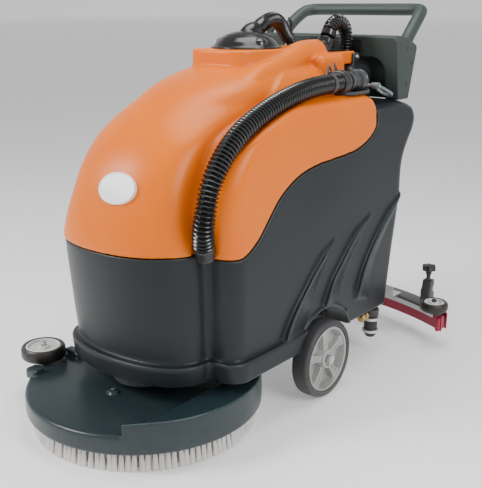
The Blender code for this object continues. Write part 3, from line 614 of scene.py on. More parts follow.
    @staticmethod
    def finish(made: bpy.types.Object, look: Finish, body: Optional[str],
               *nodes: str) -> bpy.types.Object:
        """Move a piece to the row frame, dress it and hang it on its body.

        Args:
            made: the piece, in the deck frame.
            look: its finish.
            body: the CAD body it rides on, or None to hang it on no body.
            nodes: the CAD nodes that it stands for.

        Returns:
            The piece.
        """
        made.data.transform(Matrix.Translation((0.0, BRUSH_AXIS_Y, 0.0)))
        made.data.materials.clear()
        made.data.materials.append(look.material())
        if body:
            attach(made, body)
        if nodes:
            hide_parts(*nodes)
        LOG.info("%s: %d faces, %s", made.name, len(made.data.polygons), look.name)
        return made


def arc(centre: tuple[float, float], radius: float, start: float, end: float,
        count: int) -> Outline:
    """Return points on an arc, with its angles in degrees."""
    turns = [math.radians(start + (end - start) * i / count) for i in range(count + 1)]
    return [(centre[0] + radius * math.cos(t), centre[1] + radius * math.sin(t)) for t in turns]


def oval(half_x: float, half_y: float, centre_y: float, z: float, power: float = 2.6,
         count: int = 64) -> list[Point]:
    """Draw a superellipse ring.

    Args:
        half_x: half of its size across.
        half_y: half of its size along.
        centre_y: its middle.
        z: its height.
        power: 2 for an ellipse, more for a squarer ring.
        count: how many points it has.

    Returns:
        The ring's points.
    """
    ring = []
    for i in range(count):
        c, s = math.cos(2 * math.pi * i / count), math.sin(2 * math.pi * i / count)
        x = math.copysign(abs(c) ** (2 / power), c) * half_x
        y = math.copysign(abs(s) ** (2 / power), s) * half_y
        ring.append((x, centre_y + y, z))
    return ring


# ---------------------------------------------------------------- body shell
@dataclass(frozen=True)
class Level:
    """One level of the body's plan: a rounded nose, a crease at each side and a flat rear."""

    z: float
    nose_y: float
    nose_x: float
    crease_y: float
    side_x: float
    rear_y: float
    rear_r: float = 0.050
    nose_power: float = 0.92
    lag: float = 0.0

    def half(self, crease_y: float) -> Outline:
        """Return one half of the outline, from the nose to the middle of the rear.

        Args:
            crease_y: where the nose ends on this side.

        Returns:
            Points (x, y) of the side with positive x.
        """
        line: list[tuple[float, float]] = []
        for i in range(24):
            turn = i / 23 * math.pi / 2
            line.append((self.nose_x * math.sin(turn) ** self.nose_power,
                         crease_y - (crease_y - self.nose_y) * math.cos(turn) ** self.nose_power))
        x, y = self.nose_x, crease_y
        line += [(x + 0.0015, y + 0.007), (x + 0.0060, y + 0.0135), (x + 0.013, y + 0.0165)]
        shoulder = min(0.045, max(self.side_x - x, 0.004))
        line += arc((self.side_x - shoulder, y + 0.018 + shoulder), shoulder, -76, 0, 8)
        line += arc((self.side_x - self.rear_r, self.rear_y - self.rear_r), self.rear_r, 0, 80, 10)
        return line + [(self.side_x * 0.5, self.rear_y + 0.002), (0.0, self.rear_y + 0.004)]

    def ring(self) -> list[Point]:
        """Return the level's outline, closed, as points in the deck frame."""
        left, right = self.half(self.crease_y), self.half(self.crease_y + self.lag)
        return [(x, y, self.z) for x, y in left + [(-x, y) for x, y in right[-2:0:-1]]]

    @staticmethod
    def stack(table: Sequence[Sequence[float]], step: float) -> list[list[Point]]:
        """Ease outlines through the levels of a table.

        Args:
            table: rows of Level's values, by height.
            step: the height between outlines.

        Returns:
            The outlines, from the lowest up.
        """
        rows = np.array([(tuple(row) + (0.050, 0.92, 0.0)[len(row) - 6:]) for row in table], float)
        count = max(2, int((rows[-1, 0] - rows[0, 0]) / step))
        slopes = np.gradient(rows, rows[:, 0], axis=0)
        rings = []
        for z in np.linspace(rows[0, 0], rows[-1, 0], count):
            k = min(int(np.searchsorted(rows[:, 0], z, side="right")) - 1, len(rows) - 2)
            span = rows[k + 1, 0] - rows[k, 0]
            t = (z - rows[k, 0]) / span
            low, high = slopes[k] * span, slopes[k + 1] * span
            row = ((2 * t ** 3 - 3 * t ** 2 + 1) * rows[k] + (t ** 3 - 2 * t ** 2 + t) * low
                   + (3 * t ** 2 - 2 * t ** 3) * rows[k + 1] + (t ** 3 - t ** 2) * high)
            rings.append(Level(*row).ring())
        return rings


def parting(shift: float) -> Outline:
    """Draw the line between the two tanks.

    Args:
        shift: how far it moves, forwards and up alike.

    Returns:
        The line's (y, z) points.
    """
    line = [(-0.300, 0.440), (-0.040, 0.440), (0.010, 0.429), (0.060, 0.430), (0.105, 0.456),
            (0.140, 0.492),
            (0.178, 0.532), (0.220, 0.560), (0.270, 0.580), (0.340, 0.592), (0.430, 0.597),
            (0.500, 0.604),
            (0.555, 0.622), (0.590, 0.648), (0.604, 0.680)]
    return [(y - shift, z + shift) for y, z in line]


def eased(outline: Outline, step: float = 0.012) -> Outline:
    """Return a (y, z) line smoothed by a curve through its points."""
    return [(p.y, p.z) for p in Workshop.route([(0.0, y, z) for y, z in outline], step)]


DRAIN_PATH = [(0.214, -0.022, 0.466), (0.226, -0.036, 0.505), (0.234, -0.036, 0.550),
              (0.236, -0.020, 0.602),
              (0.234, 0.020, 0.651), (0.230, 0.076, 0.690), (0.226, 0.148, 0.720),
              (0.222, 0.236, 0.745),
              (0.218, 0.332, 0.762), (0.214, 0.428, 0.768), (0.212, 0.514, 0.768)]


@dataclass
class RecoveryTank:
    """Upper tank: domed nose, flared leaf at each side, raised lid rim and inlet duct."""

    voxel: float = 0.0036
    rear_y: float = 0.596
    inlet: tuple[float, float, float] = (0.088, 0.565, 0.832)
    lid_y: float = 0.385
    lag: float = 0.070
    rim_top: float = 0.848
    hinge: tuple[float, float, float] = HINGE

    def levels(self) -> list[Sequence[float]]:
        """List the levels.

        Returns:
            Rows of Level's values: z, nose y and x, crease y, side x, rear y and radius,
            nose power and lag.
        """
        rear = self.rear_y
        table = [
            (0.400, -0.142, 0.191, -0.006, 0.262, rear, 0.010),
            (0.440, -0.143, 0.191, -0.010, 0.262, rear, 0.010),
            (0.500, -0.138, 0.185, -0.016, 0.262, rear, 0.010),
            (0.550, -0.125, 0.178, -0.016, 0.262, rear, 0.010),
            (0.600, -0.104, 0.171, -0.002, 0.262, rear, 0.010),
            (0.640, -0.078, 0.166, 0.024, 0.262, rear, 0.012),
            (0.680, -0.040, 0.162, 0.072, 0.262, rear, 0.016),
            (0.710, -0.002, 0.159, 0.150, 0.259, rear, 0.024),
            (0.728, 0.026, 0.157, 0.212, 0.250, rear - 0.004, 0.040),
            (0.736, 0.040, 0.156, 0.240, 0.228, rear - 0.012, 0.040),
            (0.742, 0.052, 0.156, 0.250, 0.196, rear - 0.020, 0.040),
            (0.768, 0.106, 0.152, 0.280, 0.166, rear - 0.022, 0.040),
            (0.790, 0.168, 0.138, 0.320, 0.148, rear - 0.026, 0.040),
            (0.808, 0.240, 0.110, 0.360, 0.118, rear - 0.036, 0.040),
            (0.820, 0.305, 0.076, 0.380, 0.082, rear - 0.050, 0.030),
        ]
        return [(*row, 0.92, self.lag * min(1.0, max(0.0, (row[0] - 0.44) / 0.12)))
                for row in table]

    def shell(self) -> bpy.types.Object:
        """Build and dress the tank itself."""
        tank = Workshop.loft("recovery_tank_shell", Level.stack(self.levels(), 0.008))
        rim = Workshop.loft("rim",
                            [oval(0.099, 0.150, 0.406, z, 4.2) for z in (0.700, self.rim_top)])
        duct_path = Workshop.route([(0.112, 0.250, 0.765), (0.104, 0.300, 0.782),
                                    (0.098, 0.400, 0.806),
                                    (0.090, 0.490, 0.829), self.inlet], 0.015)
        duct = Workshop.sweep("duct", duct_path, [0.030] + [0.034] * (len(duct_path) - 1), 28)
        Workshop.carve(tank, Op.JOIN, rim, duct)
        cuts = [self.underside(), *self.grooves()]
        cuts.append(Workshop.loft("hollow", [
            oval(0.165, 0.190, 0.330, 0.620), oval(0.160, 0.180, 0.340, 0.700),
            oval(0.130, 0.140, 0.380, 0.760), oval(0.095, 0.110, 0.390, 0.790)]))
        cuts.append(Workshop.rod("mouth", 0.060, (0, self.lid_y, 0.72), (0, self.lid_y, 0.90)))
        x, y, z = self.inlet
        cuts.append(Workshop.rod("collar_room", 0.0325, (x, y, z), (x, y + 0.08, z)))
        Workshop.carve(tank, Op.CUT, *cuts)
        for side in (-1, 1):
            hx, hy, hz = side * self.hinge[0], self.hinge[1], self.hinge[2]
            knuckle = Workshop.block("knuckle", (hx - 0.034, hy - 0.170, hz - 0.090),
                                     (hx + 0.028, hy - 0.056, hz + 0.010))
            lug = Workshop.block("lug", (hx - 0.012, hy - 0.128, hz - 0.018),
                                 (hx + 0.012, hy + 0.008, hz + 0.014))
            Workshop.carve(tank, Op.JOIN, Workshop.rounded(knuckle, 0.018, 4), lug)
            Workshop.carve(tank, Op.CUT,
                           Workshop.rod("bore", 0.0058, (hx - 0.04, hy, hz), (hx + 0.04, hy, hz)))
        Workshop.soften(tank, self.voxel, 4)
        return Workshop.finish(tank, ORANGE, "recovery_tank_unit", "recovery_tank")

    def underside(self) -> bpy.types.Object:
        """Return what is cut away below the parting line."""
        line = eased(parting(0.0022))
        line += [(line[-1][0], 0.720), (0.800, 0.720), (0.800, 0.300), (-0.310, 0.300)]
        return Workshop.prism("below", line, -0.40, 0.40, Axis.X)

    def grooves(self) -> list[bpy.types.Object]:
        """Return the cutters of the hose groove and of the cap's seat."""
        path = Workshop.route([(0.206, -0.012, 0.434), *DRAIN_PATH, (0.212, 0.540, 0.767)], 0.015)
        return [Workshop.sweep("groove", path, [0.0268] * len(path), 28),
                Workshop.rod("cap_seat", 0.0300, (0.212, 0.425, 0.767), (0.212, 0.600, 0.767))]

    def lid(self) -> None:
        """Build the glossy dome, its elbow and its screw ring."""
        z = self.rim_top + 0.0005
        dome = [(0.0, z + 0.041), (0.016, z + 0.0405), (0.033, z + 0.038), (0.049, z + 0.033),
                (0.062, z + 0.0260),
                (0.073, z + 0.0165), (0.080, z + 0.0080), (0.083, z + 0.0045), (0.0865, z + 0.0040),
                (0.088, z + 0.0025), (0.088, z), (0.0, z)]
        lid = Workshop.turned("lid_dome", dome, (0, self.lid_y, 0), Axis.Z, 72)
        lobes = [Workshop.turned("lobe",
                                 [(0.0, 0.016), (0.012, 0.0145), (0.020, 0.009), (0.023, 0.0),
                                  (0.0, 0.0)],
                                 (0.058 * math.cos(t), self.lid_y + 0.058 * math.sin(t), z + 0.010),
                                 Axis.Z, 32)
                 for t in (math.radians(200), math.radians(340))]
        neck_path = Workshop.route([(0, self.lid_y - 0.004, z + 0.012),
                                    (0, self.lid_y + 0.002, z + 0.027),
                                    (0, self.lid_y + 0.016, z + 0.037),
                                    (0, self.lid_y + 0.036, z + 0.041)], 0.004)
        neck = Workshop.sweep("neck", neck_path, [0.0225] * len(neck_path), 32)
        Workshop.carve(lid, Op.JOIN, neck, *lobes)
        Workshop.soften(lid, 0.0015, 3)
        Workshop.finish(lid, GLOSS, "recovery_tank_unit", "tank_lid")

    def collar(self) -> None:
        """Build the glossy elbow on the inlet."""
        x, y, z = self.inlet
        path = Workshop.route([(x, y + 0.003, z), (x, y + 0.018, z + 0.002),
                               (x, y + 0.034, z + 0.012),
                               (x, y + 0.046, z + 0.032)], 0.003)
        radii = [0.0300 if k < len(path) * 0.42 else 0.0265 - 0.0040 * k / len(path)
                 for k in range(len(path))]
        elbow = Workshop.sweep("inlet_elbow", path, radii, 40)
        ring = Workshop.turned("ring",
                               [(0.0312, 0.006), (0.0312, -0.006), (0.020, -0.006), (0.020, 0.006)],
                               (x, y + 0.0075, z), Axis.Y, 40)
        Workshop.carve(elbow, Op.JOIN, ring)
        Workshop.soften(elbow, 0.0014, 2)
        Workshop.finish(elbow, GLOSS, "recovery_tank_unit", "inlet_collar")

    def badge(self, tank: bpy.types.Object) -> None:
        """Build the plain oval plate with a raised border; it carries no text.

        Args:
            tank: the finished tank that the plate sits on.
        """
        found, spot, _, _ = tank.ray_cast(Vector((0.052, -1.0, 0.5815)), Vector((0, 1, 0)))
        if not found:
            raise ValueError("the badge has no surface to sit on")
        corners = [tank.ray_cast(Vector((0.052 + dx, -1.0, 0.5815 + dz)), Vector((0, 1, 0)))[1]
                   for dx, dz in ((0.030, 0.0), (-0.030, 0.0), (0.0, 0.024), (0.0, -0.024))]
        out = (corners[0] - corners[1]).cross(corners[2] - corners[3]).normalized()
        across = Vector((0, 0, 1)).cross(out).normalized()
        turn = Matrix((across, out.cross(across), out)).transposed().to_4x4()
        spot = (sum(corners, Vector()) + 2 * spot) / 6 - Vector((0, BRUSH_AXIS_Y, 0))
        plate = Workshop.loft("badge_plate", [oval(a, b, 0, z, 2.0) for a, b, z in (
            (0.0480, 0.0350, -0.010), (0.0480, 0.0350, 0.0034), (0.0465, 0.0335, 0.0048),
            (0.0450, 0.0320, 0.0048),
            (0.0440, 0.0310, 0.0036))])
        plate.data.transform(Matrix.Translation(spot) @ turn)
        Workshop.shade(plate, 30)
        Workshop.finish(plate, WHITE_BADGE, "recovery_tank_unit", "badge")

    def build(self) -> None:
        """Build every piece of the unit."""
        tank = self.shell()
        self.lid()
        self.collar()
        self.badge(tank)


WHITE_BADGE = Finish("badge_white", "silver_plastic", (0.80, 0.80, 0.80), (0.76, 0.76, 0.76),
                     (0.55, 0.40, 0.30),
                     0.30, 0.06, 500.0, 0.00003, coat=0.3)


@dataclass
class DrainHose:
    """Corrugated drain hose in the leaf's groove, with its cuff, cap, holder and strap."""

    pitch: float = 0.0094
    outer: float = 0.0236
    inner: float = 0.0168

    @staticmethod
    def ribbed(name: str, points: Sequence[Point], outer: float, inner: float, pitch: float,
               cuffs: tuple[float, float] = (0.0, 0.0)) -> bpy.types.Object:
        """Build a corrugated hose.

        Args:
            name: the piece's name.
            points: where its middle line goes.
            outer: radius on a ring.
            inner: radius between rings.
            pitch: distance from ring to ring.
            cuffs: length of the smooth cuff at each end.

        Returns:
            The hose.
        """
        path = Workshop.route(points, pitch / 8)
        total = len(path) - 1
        radii = []
        for k in range(total + 1):
            run = k * pitch / 8
            wave = 0.5 - 0.5 * math.cos(2 * math.pi * k / 8)
            plain = run < cuffs[0] or (total - k) * pitch / 8 < cuffs[1]
            radii.append(outer + 0.0004 if plain else inner + (outer - inner) * wave ** 0.85)
        return Workshop.sweep(name, path, radii, 28)

    def build(self) -> None:
        """Build the hose and everything that holds it."""
        hose = self.ribbed("drain_hose_ribbed", DRAIN_PATH, self.outer, self.inner, self.pitch)
        Workshop.finish(hose, HOSE, "recovery_tank_unit", "drain_hose")
        boot = Workshop.route([DRAIN_PATH[0], (0.209, -0.013, 0.450), (0.206, -0.008, 0.4385)],
                              0.004)
        Workshop.finish(Workshop.sweep("hose_boot", boot, [0.0208] + [0.0218] * (len(boot) - 1),
                                       36),
                        BLACK, "recovery_tank_unit")
        x, y, z = DRAIN_PATH[-1]
        cap = [(0.0, 0.066), (0.024, 0.066), (0.0275, 0.063), (0.0280, 0.058), (0.0265, 0.056),
               (0.0265, 0.052),
               (0.0280, 0.050), (0.0280, 0.042), (0.0240, 0.040), (0.0236, 0.012), (0.0246, 0.010),
               (0.0246, 0.002),
               (0.0, 0.002)]
        Workshop.finish(Workshop.turned("drain_cap_turned", cap, (x, y, z), Axis.Y, 48),
                        CUFF, "drain_plug", "drain_cap")
        ring = Workshop.turned("ring",
                               [(0.0290, 0.013), (0.0300, 0.010), (0.0300, -0.010),
                                (0.0290, -0.013),
                                        (0.0240, -0.013), (0.0240, 0.013)], (x, y - 0.028, z),
                                        Axis.Y, 48)
        tab = Workshop.prism("tab",
                             [(0.020, -0.006), (0.044, -0.004), (0.052, 0.0), (0.044, 0.004),
                              (0.020, 0.006)],
                             -0.0015, 0.0015)
        tab.data.transform(Matrix.Translation((x, y - 0.028,
                                               z)) @ Matrix.Rotation(math.radians(-112), 4, "Y"))
        Workshop.carve(ring, Op.JOIN, tab)
        Workshop.finish(Workshop.rounded(ring, 0.0006, 1), BLACK, "recovery_tank_unit",
                        "hose_holder")
        self.tray()
        self.strap()

    def tray(self) -> None:
        """Build the oval tray that the cuff rests in."""
        x, y, z = DRAIN_PATH[-1]
        rings = [oval(0.026 - inset, 0.058 - inset, y + 0.030, z - 0.034 + lift, 2.8)
                 for lift, inset in ((0.0, 0.004), (0.004, 0.0), (0.011, 0.0), (0.011, 0.004),
                                     (0.006, 0.006))]
        tray = Workshop.loft("hose_tray",
                             [[(px + x + 0.004, py, pz) for px, py, pz in ring] for ring in rings])
        Workshop.finish(Workshop.shade(tray, 35), BLACK, "recovery_tank_unit")

    def strap(self) -> None:
        """Build the pull tab with its hole, that stands up on the hose."""
        x, y, z = DRAIN_PATH[-2]
        outline = [(y - 0.004, z + 0.021), (y + 0.022, z + 0.021), (y + 0.018, z + 0.034),
                   (y + 0.009, z + 0.044),
                   (y + 0.003, z + 0.040)]
        tab = Workshop.prism("strap_tab", outline, x - 0.0035, x + 0.0005, Axis.X)
        hole = Workshop.rod("hole", 0.0045, (x - 0.02, y + 0.0095, z + 0.031),
                            (x + 0.02, y + 0.0095, z + 0.031))
        Workshop.carve(tab, Op.CUT, hole)
        band = Workshop.turned("band",
                               [(0.0250, 0.006), (0.0250, -0.006), (0.0225, -0.006),
                                (0.0225, 0.006)],
                               (x, y + 0.008, z), Axis.Y, 40)
        strap = Workshop.gather("hose_strap", [Workshop.rounded(tab, 0.0008, 1), band])
        Workshop.finish(Workshop.shade(strap, 38), BLACK, "recovery_tank_unit")


CUFF = Finish("cuff_grey", "black_plastic", (0.035, 0.036, 0.040), (0.030, 0.031, 0.034),
              (0.10, 0.10, 0.11),
              0.30, 0.08, 600.0, 0.00005)


@dataclass
class SuctionHoses:
    """Vacuum hose from the lid and the pick-up hose from the squeegee to the tank inlet."""

    outer: float = 0.0194
    inner: float = 0.0136
    pitch: float = 0.0088
    lid_end: tuple[float, float, float] = (0.0, 0.4250, 0.8905)
    vacuum: tuple[float, float] = (-0.075, 0.668)
    column_x: float = 0.088

    def build(self) -> None:
        """Build the three hoses and the coupling."""
        x, y, z = self.lid_end
        vx, vy = self.vacuum
        points = [(x, y, z), (-0.003, 0.457, 0.905), (-0.018, 0.515, 0.915), (-0.046, 0.580, 0.905),
                  (-0.068, 0.640, 0.874), (vx, vy, 0.856), (vx, vy, 0.8345)]
        upper = DrainHose.ribbed("vacuum_hose_ribbed", points, self.outer, self.inner, self.pitch,
                                 (0.030, 0.010))
        Workshop.finish(upper, HOSE, None, "vacuum_hose")
        self.bend(upper, "recovery_tank_unit", (x, y + 0.03, z), (vx, vy, 0.850))
        x = self.column_x
        points = [(x, 0.6145, 0.8715), (x, 0.630, 0.896), (x, 0.661, 0.909), (x, 0.692, 0.895),
                  (x, 0.7055, 0.860),
                  (x, 0.7070, 0.810), (x, 0.716, 0.730), (x, 0.742, 0.620), (x, 0.755, 0.500),
                  (x, 0.756, 0.420),
                  (x, 0.756, 0.2965)]
        pick = DrainHose.ribbed("pickup_hose_ribbed", points, self.outer, self.inner, self.pitch,
                                (0.016, 0.016))
        Workshop.finish(pick, HOSE, None, "pickup_hose_upper")
        self.bend(pick, "recovery_tank_unit", (x, 0.620, 0.880), (x, 0.704, 0.800))
        points = [(x, 0.756, 0.2600), (x, 0.757, 0.2400), (x, 0.778, 0.207),
                  (x - 0.003, 0.822, 0.200),
                  (x - 0.007, 0.868, 0.204), (x - 0.008, 0.895, 0.184), (x - 0.008, 0.896, 0.1655)]
        lower = DrainHose.ribbed("pickup_hose_low_ribbed", points, self.outer, self.inner,
                                 self.pitch, (0.012, 0.01))
        Workshop.finish(lower, HOSE, None, "pickup_hose_lower")
        self.bend(lower, "arm", (x, 0.890, 0.190), (x, 0.757, 0.240))
        profile = [(0.0225, 0.2945), (0.0230, 0.290), (0.0215, 0.287), (0.0215, 0.273),
                   (0.0230, 0.270),
                   (0.0225, 0.2655), (0.0, 0.2655), (0.0, 0.2945)]
        Workshop.finish(Workshop.turned("hose_coupling_turned", profile, (x, 0.756, 0.0), Axis.Z,
                                        40),
                        BLACK, "machine", "hose_coupling")

    @staticmethod
    def bend(hose: bpy.types.Object, far: str, start: Point, end: Point) -> None:
        """Bake the hose's placement into its mesh; it hangs on no body.

        Args:
            hose: the hose.
            far: the moving body; not used.
            start: where the hose is on the moving body; not used.
            end: where it is on the machine; not used.
        """
        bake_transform(hose)


# ---------------------------------------------------------------- lower body
@dataclass
class SolutionTank:
    """Lower body: clean water tank with its flange, ribbed sides, wheel arches and rear column."""

    voxel: float = 0.0034
    side_x: float = 0.262
    flange_out: float = 0.012
    flange_z: tuple[float, float] = (0.145, 0.192)
    arch: tuple[float, float, float] = (0.374, 0.100, 0.124)
    ribs: tuple = (
        ((0.408, 0.398), (0.372, 0.378), (0.344, 0.354), (0.312, 0.328), (0.287, 0.303),
         (0.243, 0.258),
         (0.214, 0.218), (0.196, 0.180)),
        ((0.578, 0.428), (0.545, 0.413), (0.507, 0.390), (0.476, 0.366), (0.448, 0.340),
         (0.420, 0.312),
         (0.398, 0.290), (0.376, 0.250), (0.360, 0.220)),
        ((0.738, 0.458), (0.704, 0.438), (0.669, 0.412), (0.632, 0.382), (0.600, 0.352),
         (0.570, 0.318),
         (0.548, 0.286), (0.530, 0.248), (0.518, 0.209)),
    )

    def levels(self) -> list[Sequence[float]]:
        """List the levels.

        Returns:
            Rows of Level's values: z, nose y and x, crease y, side x and rear y.
        """
        x = self.side_x
        return [
            (0.145, -0.096, 0.190, 0.000, 0.258, 0.720), (0.300, -0.120, 0.192, -0.002, x, 0.737),
            (0.440, -0.139, 0.190, -0.004, x, 0.763), (0.570, -0.142, 0.190, -0.010, x, 0.780),
            (0.600, -0.140, 0.190, 0.000, x, 0.799), (0.634, -0.140, 0.190, 0.000, x, 0.823),
            (0.668, -0.140, 0.190, 0.000, x - 0.001, 0.824),
            (0.690, -0.140, 0.190, 0.000, x - 0.010, 0.810),
            (0.7025, -0.140, 0.186, 0.000, x - 0.030, 0.780),
        ]

    def flange(self) -> bpy.types.Object:
        """Return the ledge that runs round the nose and the sides."""
        low, high = self.flange_z
        x = self.side_x + self.flange_out
        return Workshop.loft("flange", [
            Level(low, -0.116, 0.200, -0.006, x, 0.500).ring(),
            Level(high - 0.006, -0.121, 0.203, -0.008, x, 0.500).ring(),
            Level(high - 0.0015, -0.119, 0.2015, -0.007, x - 0.0015, 0.498).ring(),
            Level(high, -0.114, 0.198, -0.003, x - 0.006, 0.494).ring()])

    def gill(self, side: int, line: Outline, height: float, width: float,
             foot: float) -> bpy.types.Object:
        """Return one raised blade: steep at its front edge, sloping back to the wall behind.

        Args:
            side: 1 for the left side, -1 for the right.
            line: the blade's front edge as (y, z), from its tip down.
            height: how far the edge stands out.
            width: how wide the blade is at its lower end.
            foot: the share of its length over which the lower end rounds off; 0 keeps it full.

        Returns:
            The blade, ready to join to the shell.
        """
        rings = []
        count = len(line)
        for k, (y, z) in enumerate(line):
            share = k / (count - 1)
            stand = height * min(1.0, (share + 0.02) / 0.22) ** 0.6
            stand *= min(1.0, (1.02 - share) / foot) ** 0.5 if foot else 1.0
            ahead = Vector((0, line[min(k + 1, count - 1)][0] - line[max(k - 1, 0)][0],
                            line[min(k + 1, count - 1)][1] - line[max(k - 1, 0)][1])).normalized()
            rear = Vector((0, -ahead.z, ahead.y))
            reach = 0.006 + width * share ** 0.85
            wall = self.side_x - 0.050 + math.sqrt(max(0.0, 0.050 ** 2 - max(0.0, y - 0.718) ** 2))
            edge = Vector((side * wall, y, z))
            out = Vector((side * stand, 0, 0))
            sunk = Vector((side * -0.008, 0, 0))
            rings.append([edge + sunk, edge + out * 0.85, edge + out + rear * 0.0022,
                          edge + out * 0.9 + rear * 0.0060,
                          edge + out * 0.42 + rear * (0.45 * reach + 0.004),
                          edge - out * 0.05 + rear * (reach + 0.006),
                          edge + sunk + rear * (reach + 0.006)])
        return Workshop.loft("gill", rings)

    def shell(self) -> None:
        """Build and dress the whole lower body."""
        tank = Workshop.loft("solution_tank_shell", Level.stack(self.levels(), 0.010))
        adds = [self.flange()]
        hump = Workshop.block("hump", (-0.170, 0.616, 0.588), (0.170, 0.720, 0.798))
        adds.append(Workshop.rounded(hump, 0.022, 4))
        y, z, r = self.arch
        for side in (-1, 1):
            for k, line in enumerate(self.ribs):
                width, foot = (0.055, 0.10) if k else (0.070, 0.0)
                adds.append(self.gill(side, eased(list(line), 0.010), 0.0120, width, foot))
            lip = arc((y, z), r + 0.006, 22, 158, 40) + arc((y, z), r - 0.006, 158, 22, 40)
            low, high = sorted((side * (self.side_x - 0.020), side * (self.side_x + 0.0055)))
            adds.append(Workshop.prism("lip", lip, low, high, Axis.X))
        Workshop.carve(tank, Op.JOIN, *adds)
        line = eased(parting(0.0))
        above = line + [(line[-1][0], 1.0), (-0.300, 1.0)]
        cuts = [Workshop.prism("above", above, -0.40, 0.40, Axis.X)]
        cuts.append(Workshop.block("bay", (-0.175, 0.090, 0.190), (0.175, 0.530, 0.690)))
        for side in (-1, 1):
            low, high = sorted((side * 0.190, side * 0.350))
            cuts.append(Workshop.rod("arch", r, (low, y, z), (high, y, z), 64))
        cuts.append(Workshop.block("under", (-0.300, -0.300, 0.0), (0.300, 0.800, 0.145)))
        cuts.append(Workshop.block("motor_room", (-0.090, -0.088, -0.070), (0.090, 0.078, 0.330)))
        channel = Workshop.route([(0.088, 0.699, 0.900), (0.088, 0.704, 0.810),
                                  (0.088, 0.716, 0.730),
                                  (0.088, 0.742, 0.620), (0.088, 0.755, 0.500),
                                  (0.088, 0.752, 0.300),
                                  (0.088, 0.752, 0.080)], 0.02)
        cuts.append(Workshop.sweep("channel", channel, [0.030] * len(channel), 28))
        cuts.append(Workshop.block("slot", (0.058, 0.720, 0.120), (0.118, 0.860, 0.720)))
        cuts.append(Workshop.rod("vacuum_room", 0.049, (-0.075, 0.668, 0.600),
                                 (-0.075, 0.668, 0.840)))
        cuts.append(Workshop.block("arm_room", (-0.055, 0.570, 0.050), (0.055, 0.870, 0.170)))
        Workshop.carve(tank, Op.CUT, *cuts)
        self.hinge_ears(tank)
        Workshop.soften(tank, self.voxel, 2)
        Workshop.finish(tank, BODY, "machine", "solution_tank")

    @staticmethod
    def hinge_ears(tank: bpy.types.Object) -> None:
        """Add the ears of the two tank hinges.

        Args:
            tank: the solution tank, which gets them.
        """
        hx, hy, hz = HINGE
        ears, bores = [], []
        for side in (-1, 1):
            for ear in (-1, 1):
                x = side * hx + ear * 0.0170
                ears.append(Workshop.block("ear", (x - 0.0036, hy - 0.013, hz - 0.038),
                                           (x + 0.0036, hy + 0.013, hz + 0.010)))
            bores.append(Workshop.rod("bore", 0.0056, (side * hx - 0.03, hy, hz),
                                      (side * hx + 0.03, hy, hz)))
        Workshop.carve(tank, Op.JOIN, *ears)
        Workshop.carve(tank, Op.CUT, *bores)

    def build(self) -> None:
        """Build the body, its filler cap and the latch."""
        self.shell()
        knurl = []
        for k in range(96):
            turn = 2 * math.pi * k / 96
            radius = 0.0360 - (0.0012 if k % 4 in (0, 1) else 0.0)
            knurl.append((radius * math.cos(turn) - 0.120, radius * math.sin(turn) + 0.510))
        cap = Workshop.prism("fill_cap_knurled", knurl, 0.7700, 0.7920, Axis.Y)
        boss = Workshop.rod("boss", 0.024, (-0.120, 0.790, 0.510), (-0.120, 0.7935, 0.510), 40)
        Workshop.carve(cap, Op.JOIN, boss)
        Workshop.finish(Workshop.rounded(cap, 0.0008, 1), BLACK, "fill_plug", "fill_cap")
        self.latch()

    @staticmethod
    def latch() -> None:
        """Build the grey finger loop beside the column top."""
        at = Vector((0.224, 0.640, 0.750))
        outer = [(-0.010, -0.004), (0.010, -0.004), (0.0150, 0.024), (0.0175, 0.050),
                 (0.0155, 0.070), (0.008, 0.083),
                 (-0.008, 0.083), (-0.0155, 0.070), (-0.0175, 0.050), (-0.0150, 0.024)]
        inner = [(0.66 * x, 0.018 + 0.70 * y) for x, y in outer[1:-1]] + [(-0.0066, 0.015)]
        loop = Workshop.prism("latch_loop", outer, -0.0035, 0.0035)
        Workshop.carve(loop, Op.CUT, Workshop.prism("finger_hole", inner, -0.02, 0.02))
        loop.data.transform(Matrix.Translation(at) @ Matrix.Rotation(math.radians(-22), 4, "X"))
        hub = Workshop.rod("hub", 0.0082, at - Vector((0.010, 0, 0)), at + Vector((0.010, 0, 0)),
                           32)
        Workshop.carve(loop, Op.JOIN, hub)
        Workshop.carve(loop, Op.CUT,
                       Workshop.rod("bore", 0.0047, at - Vector((0.03, 0, 0)),
                                    at + Vector((0.03, 0, 0))))
        Workshop.finish(Workshop.rounded(loop, 0.0012, 2), LATCH, "latch", "tank_latch")
        pin = Workshop.rod("latch_pin", 0.0042, at - Vector((0.060, 0, 0)),
                           at + Vector((0.013, 0, 0)), 24)
        Workshop.finish(pin, LATCH, "machine")


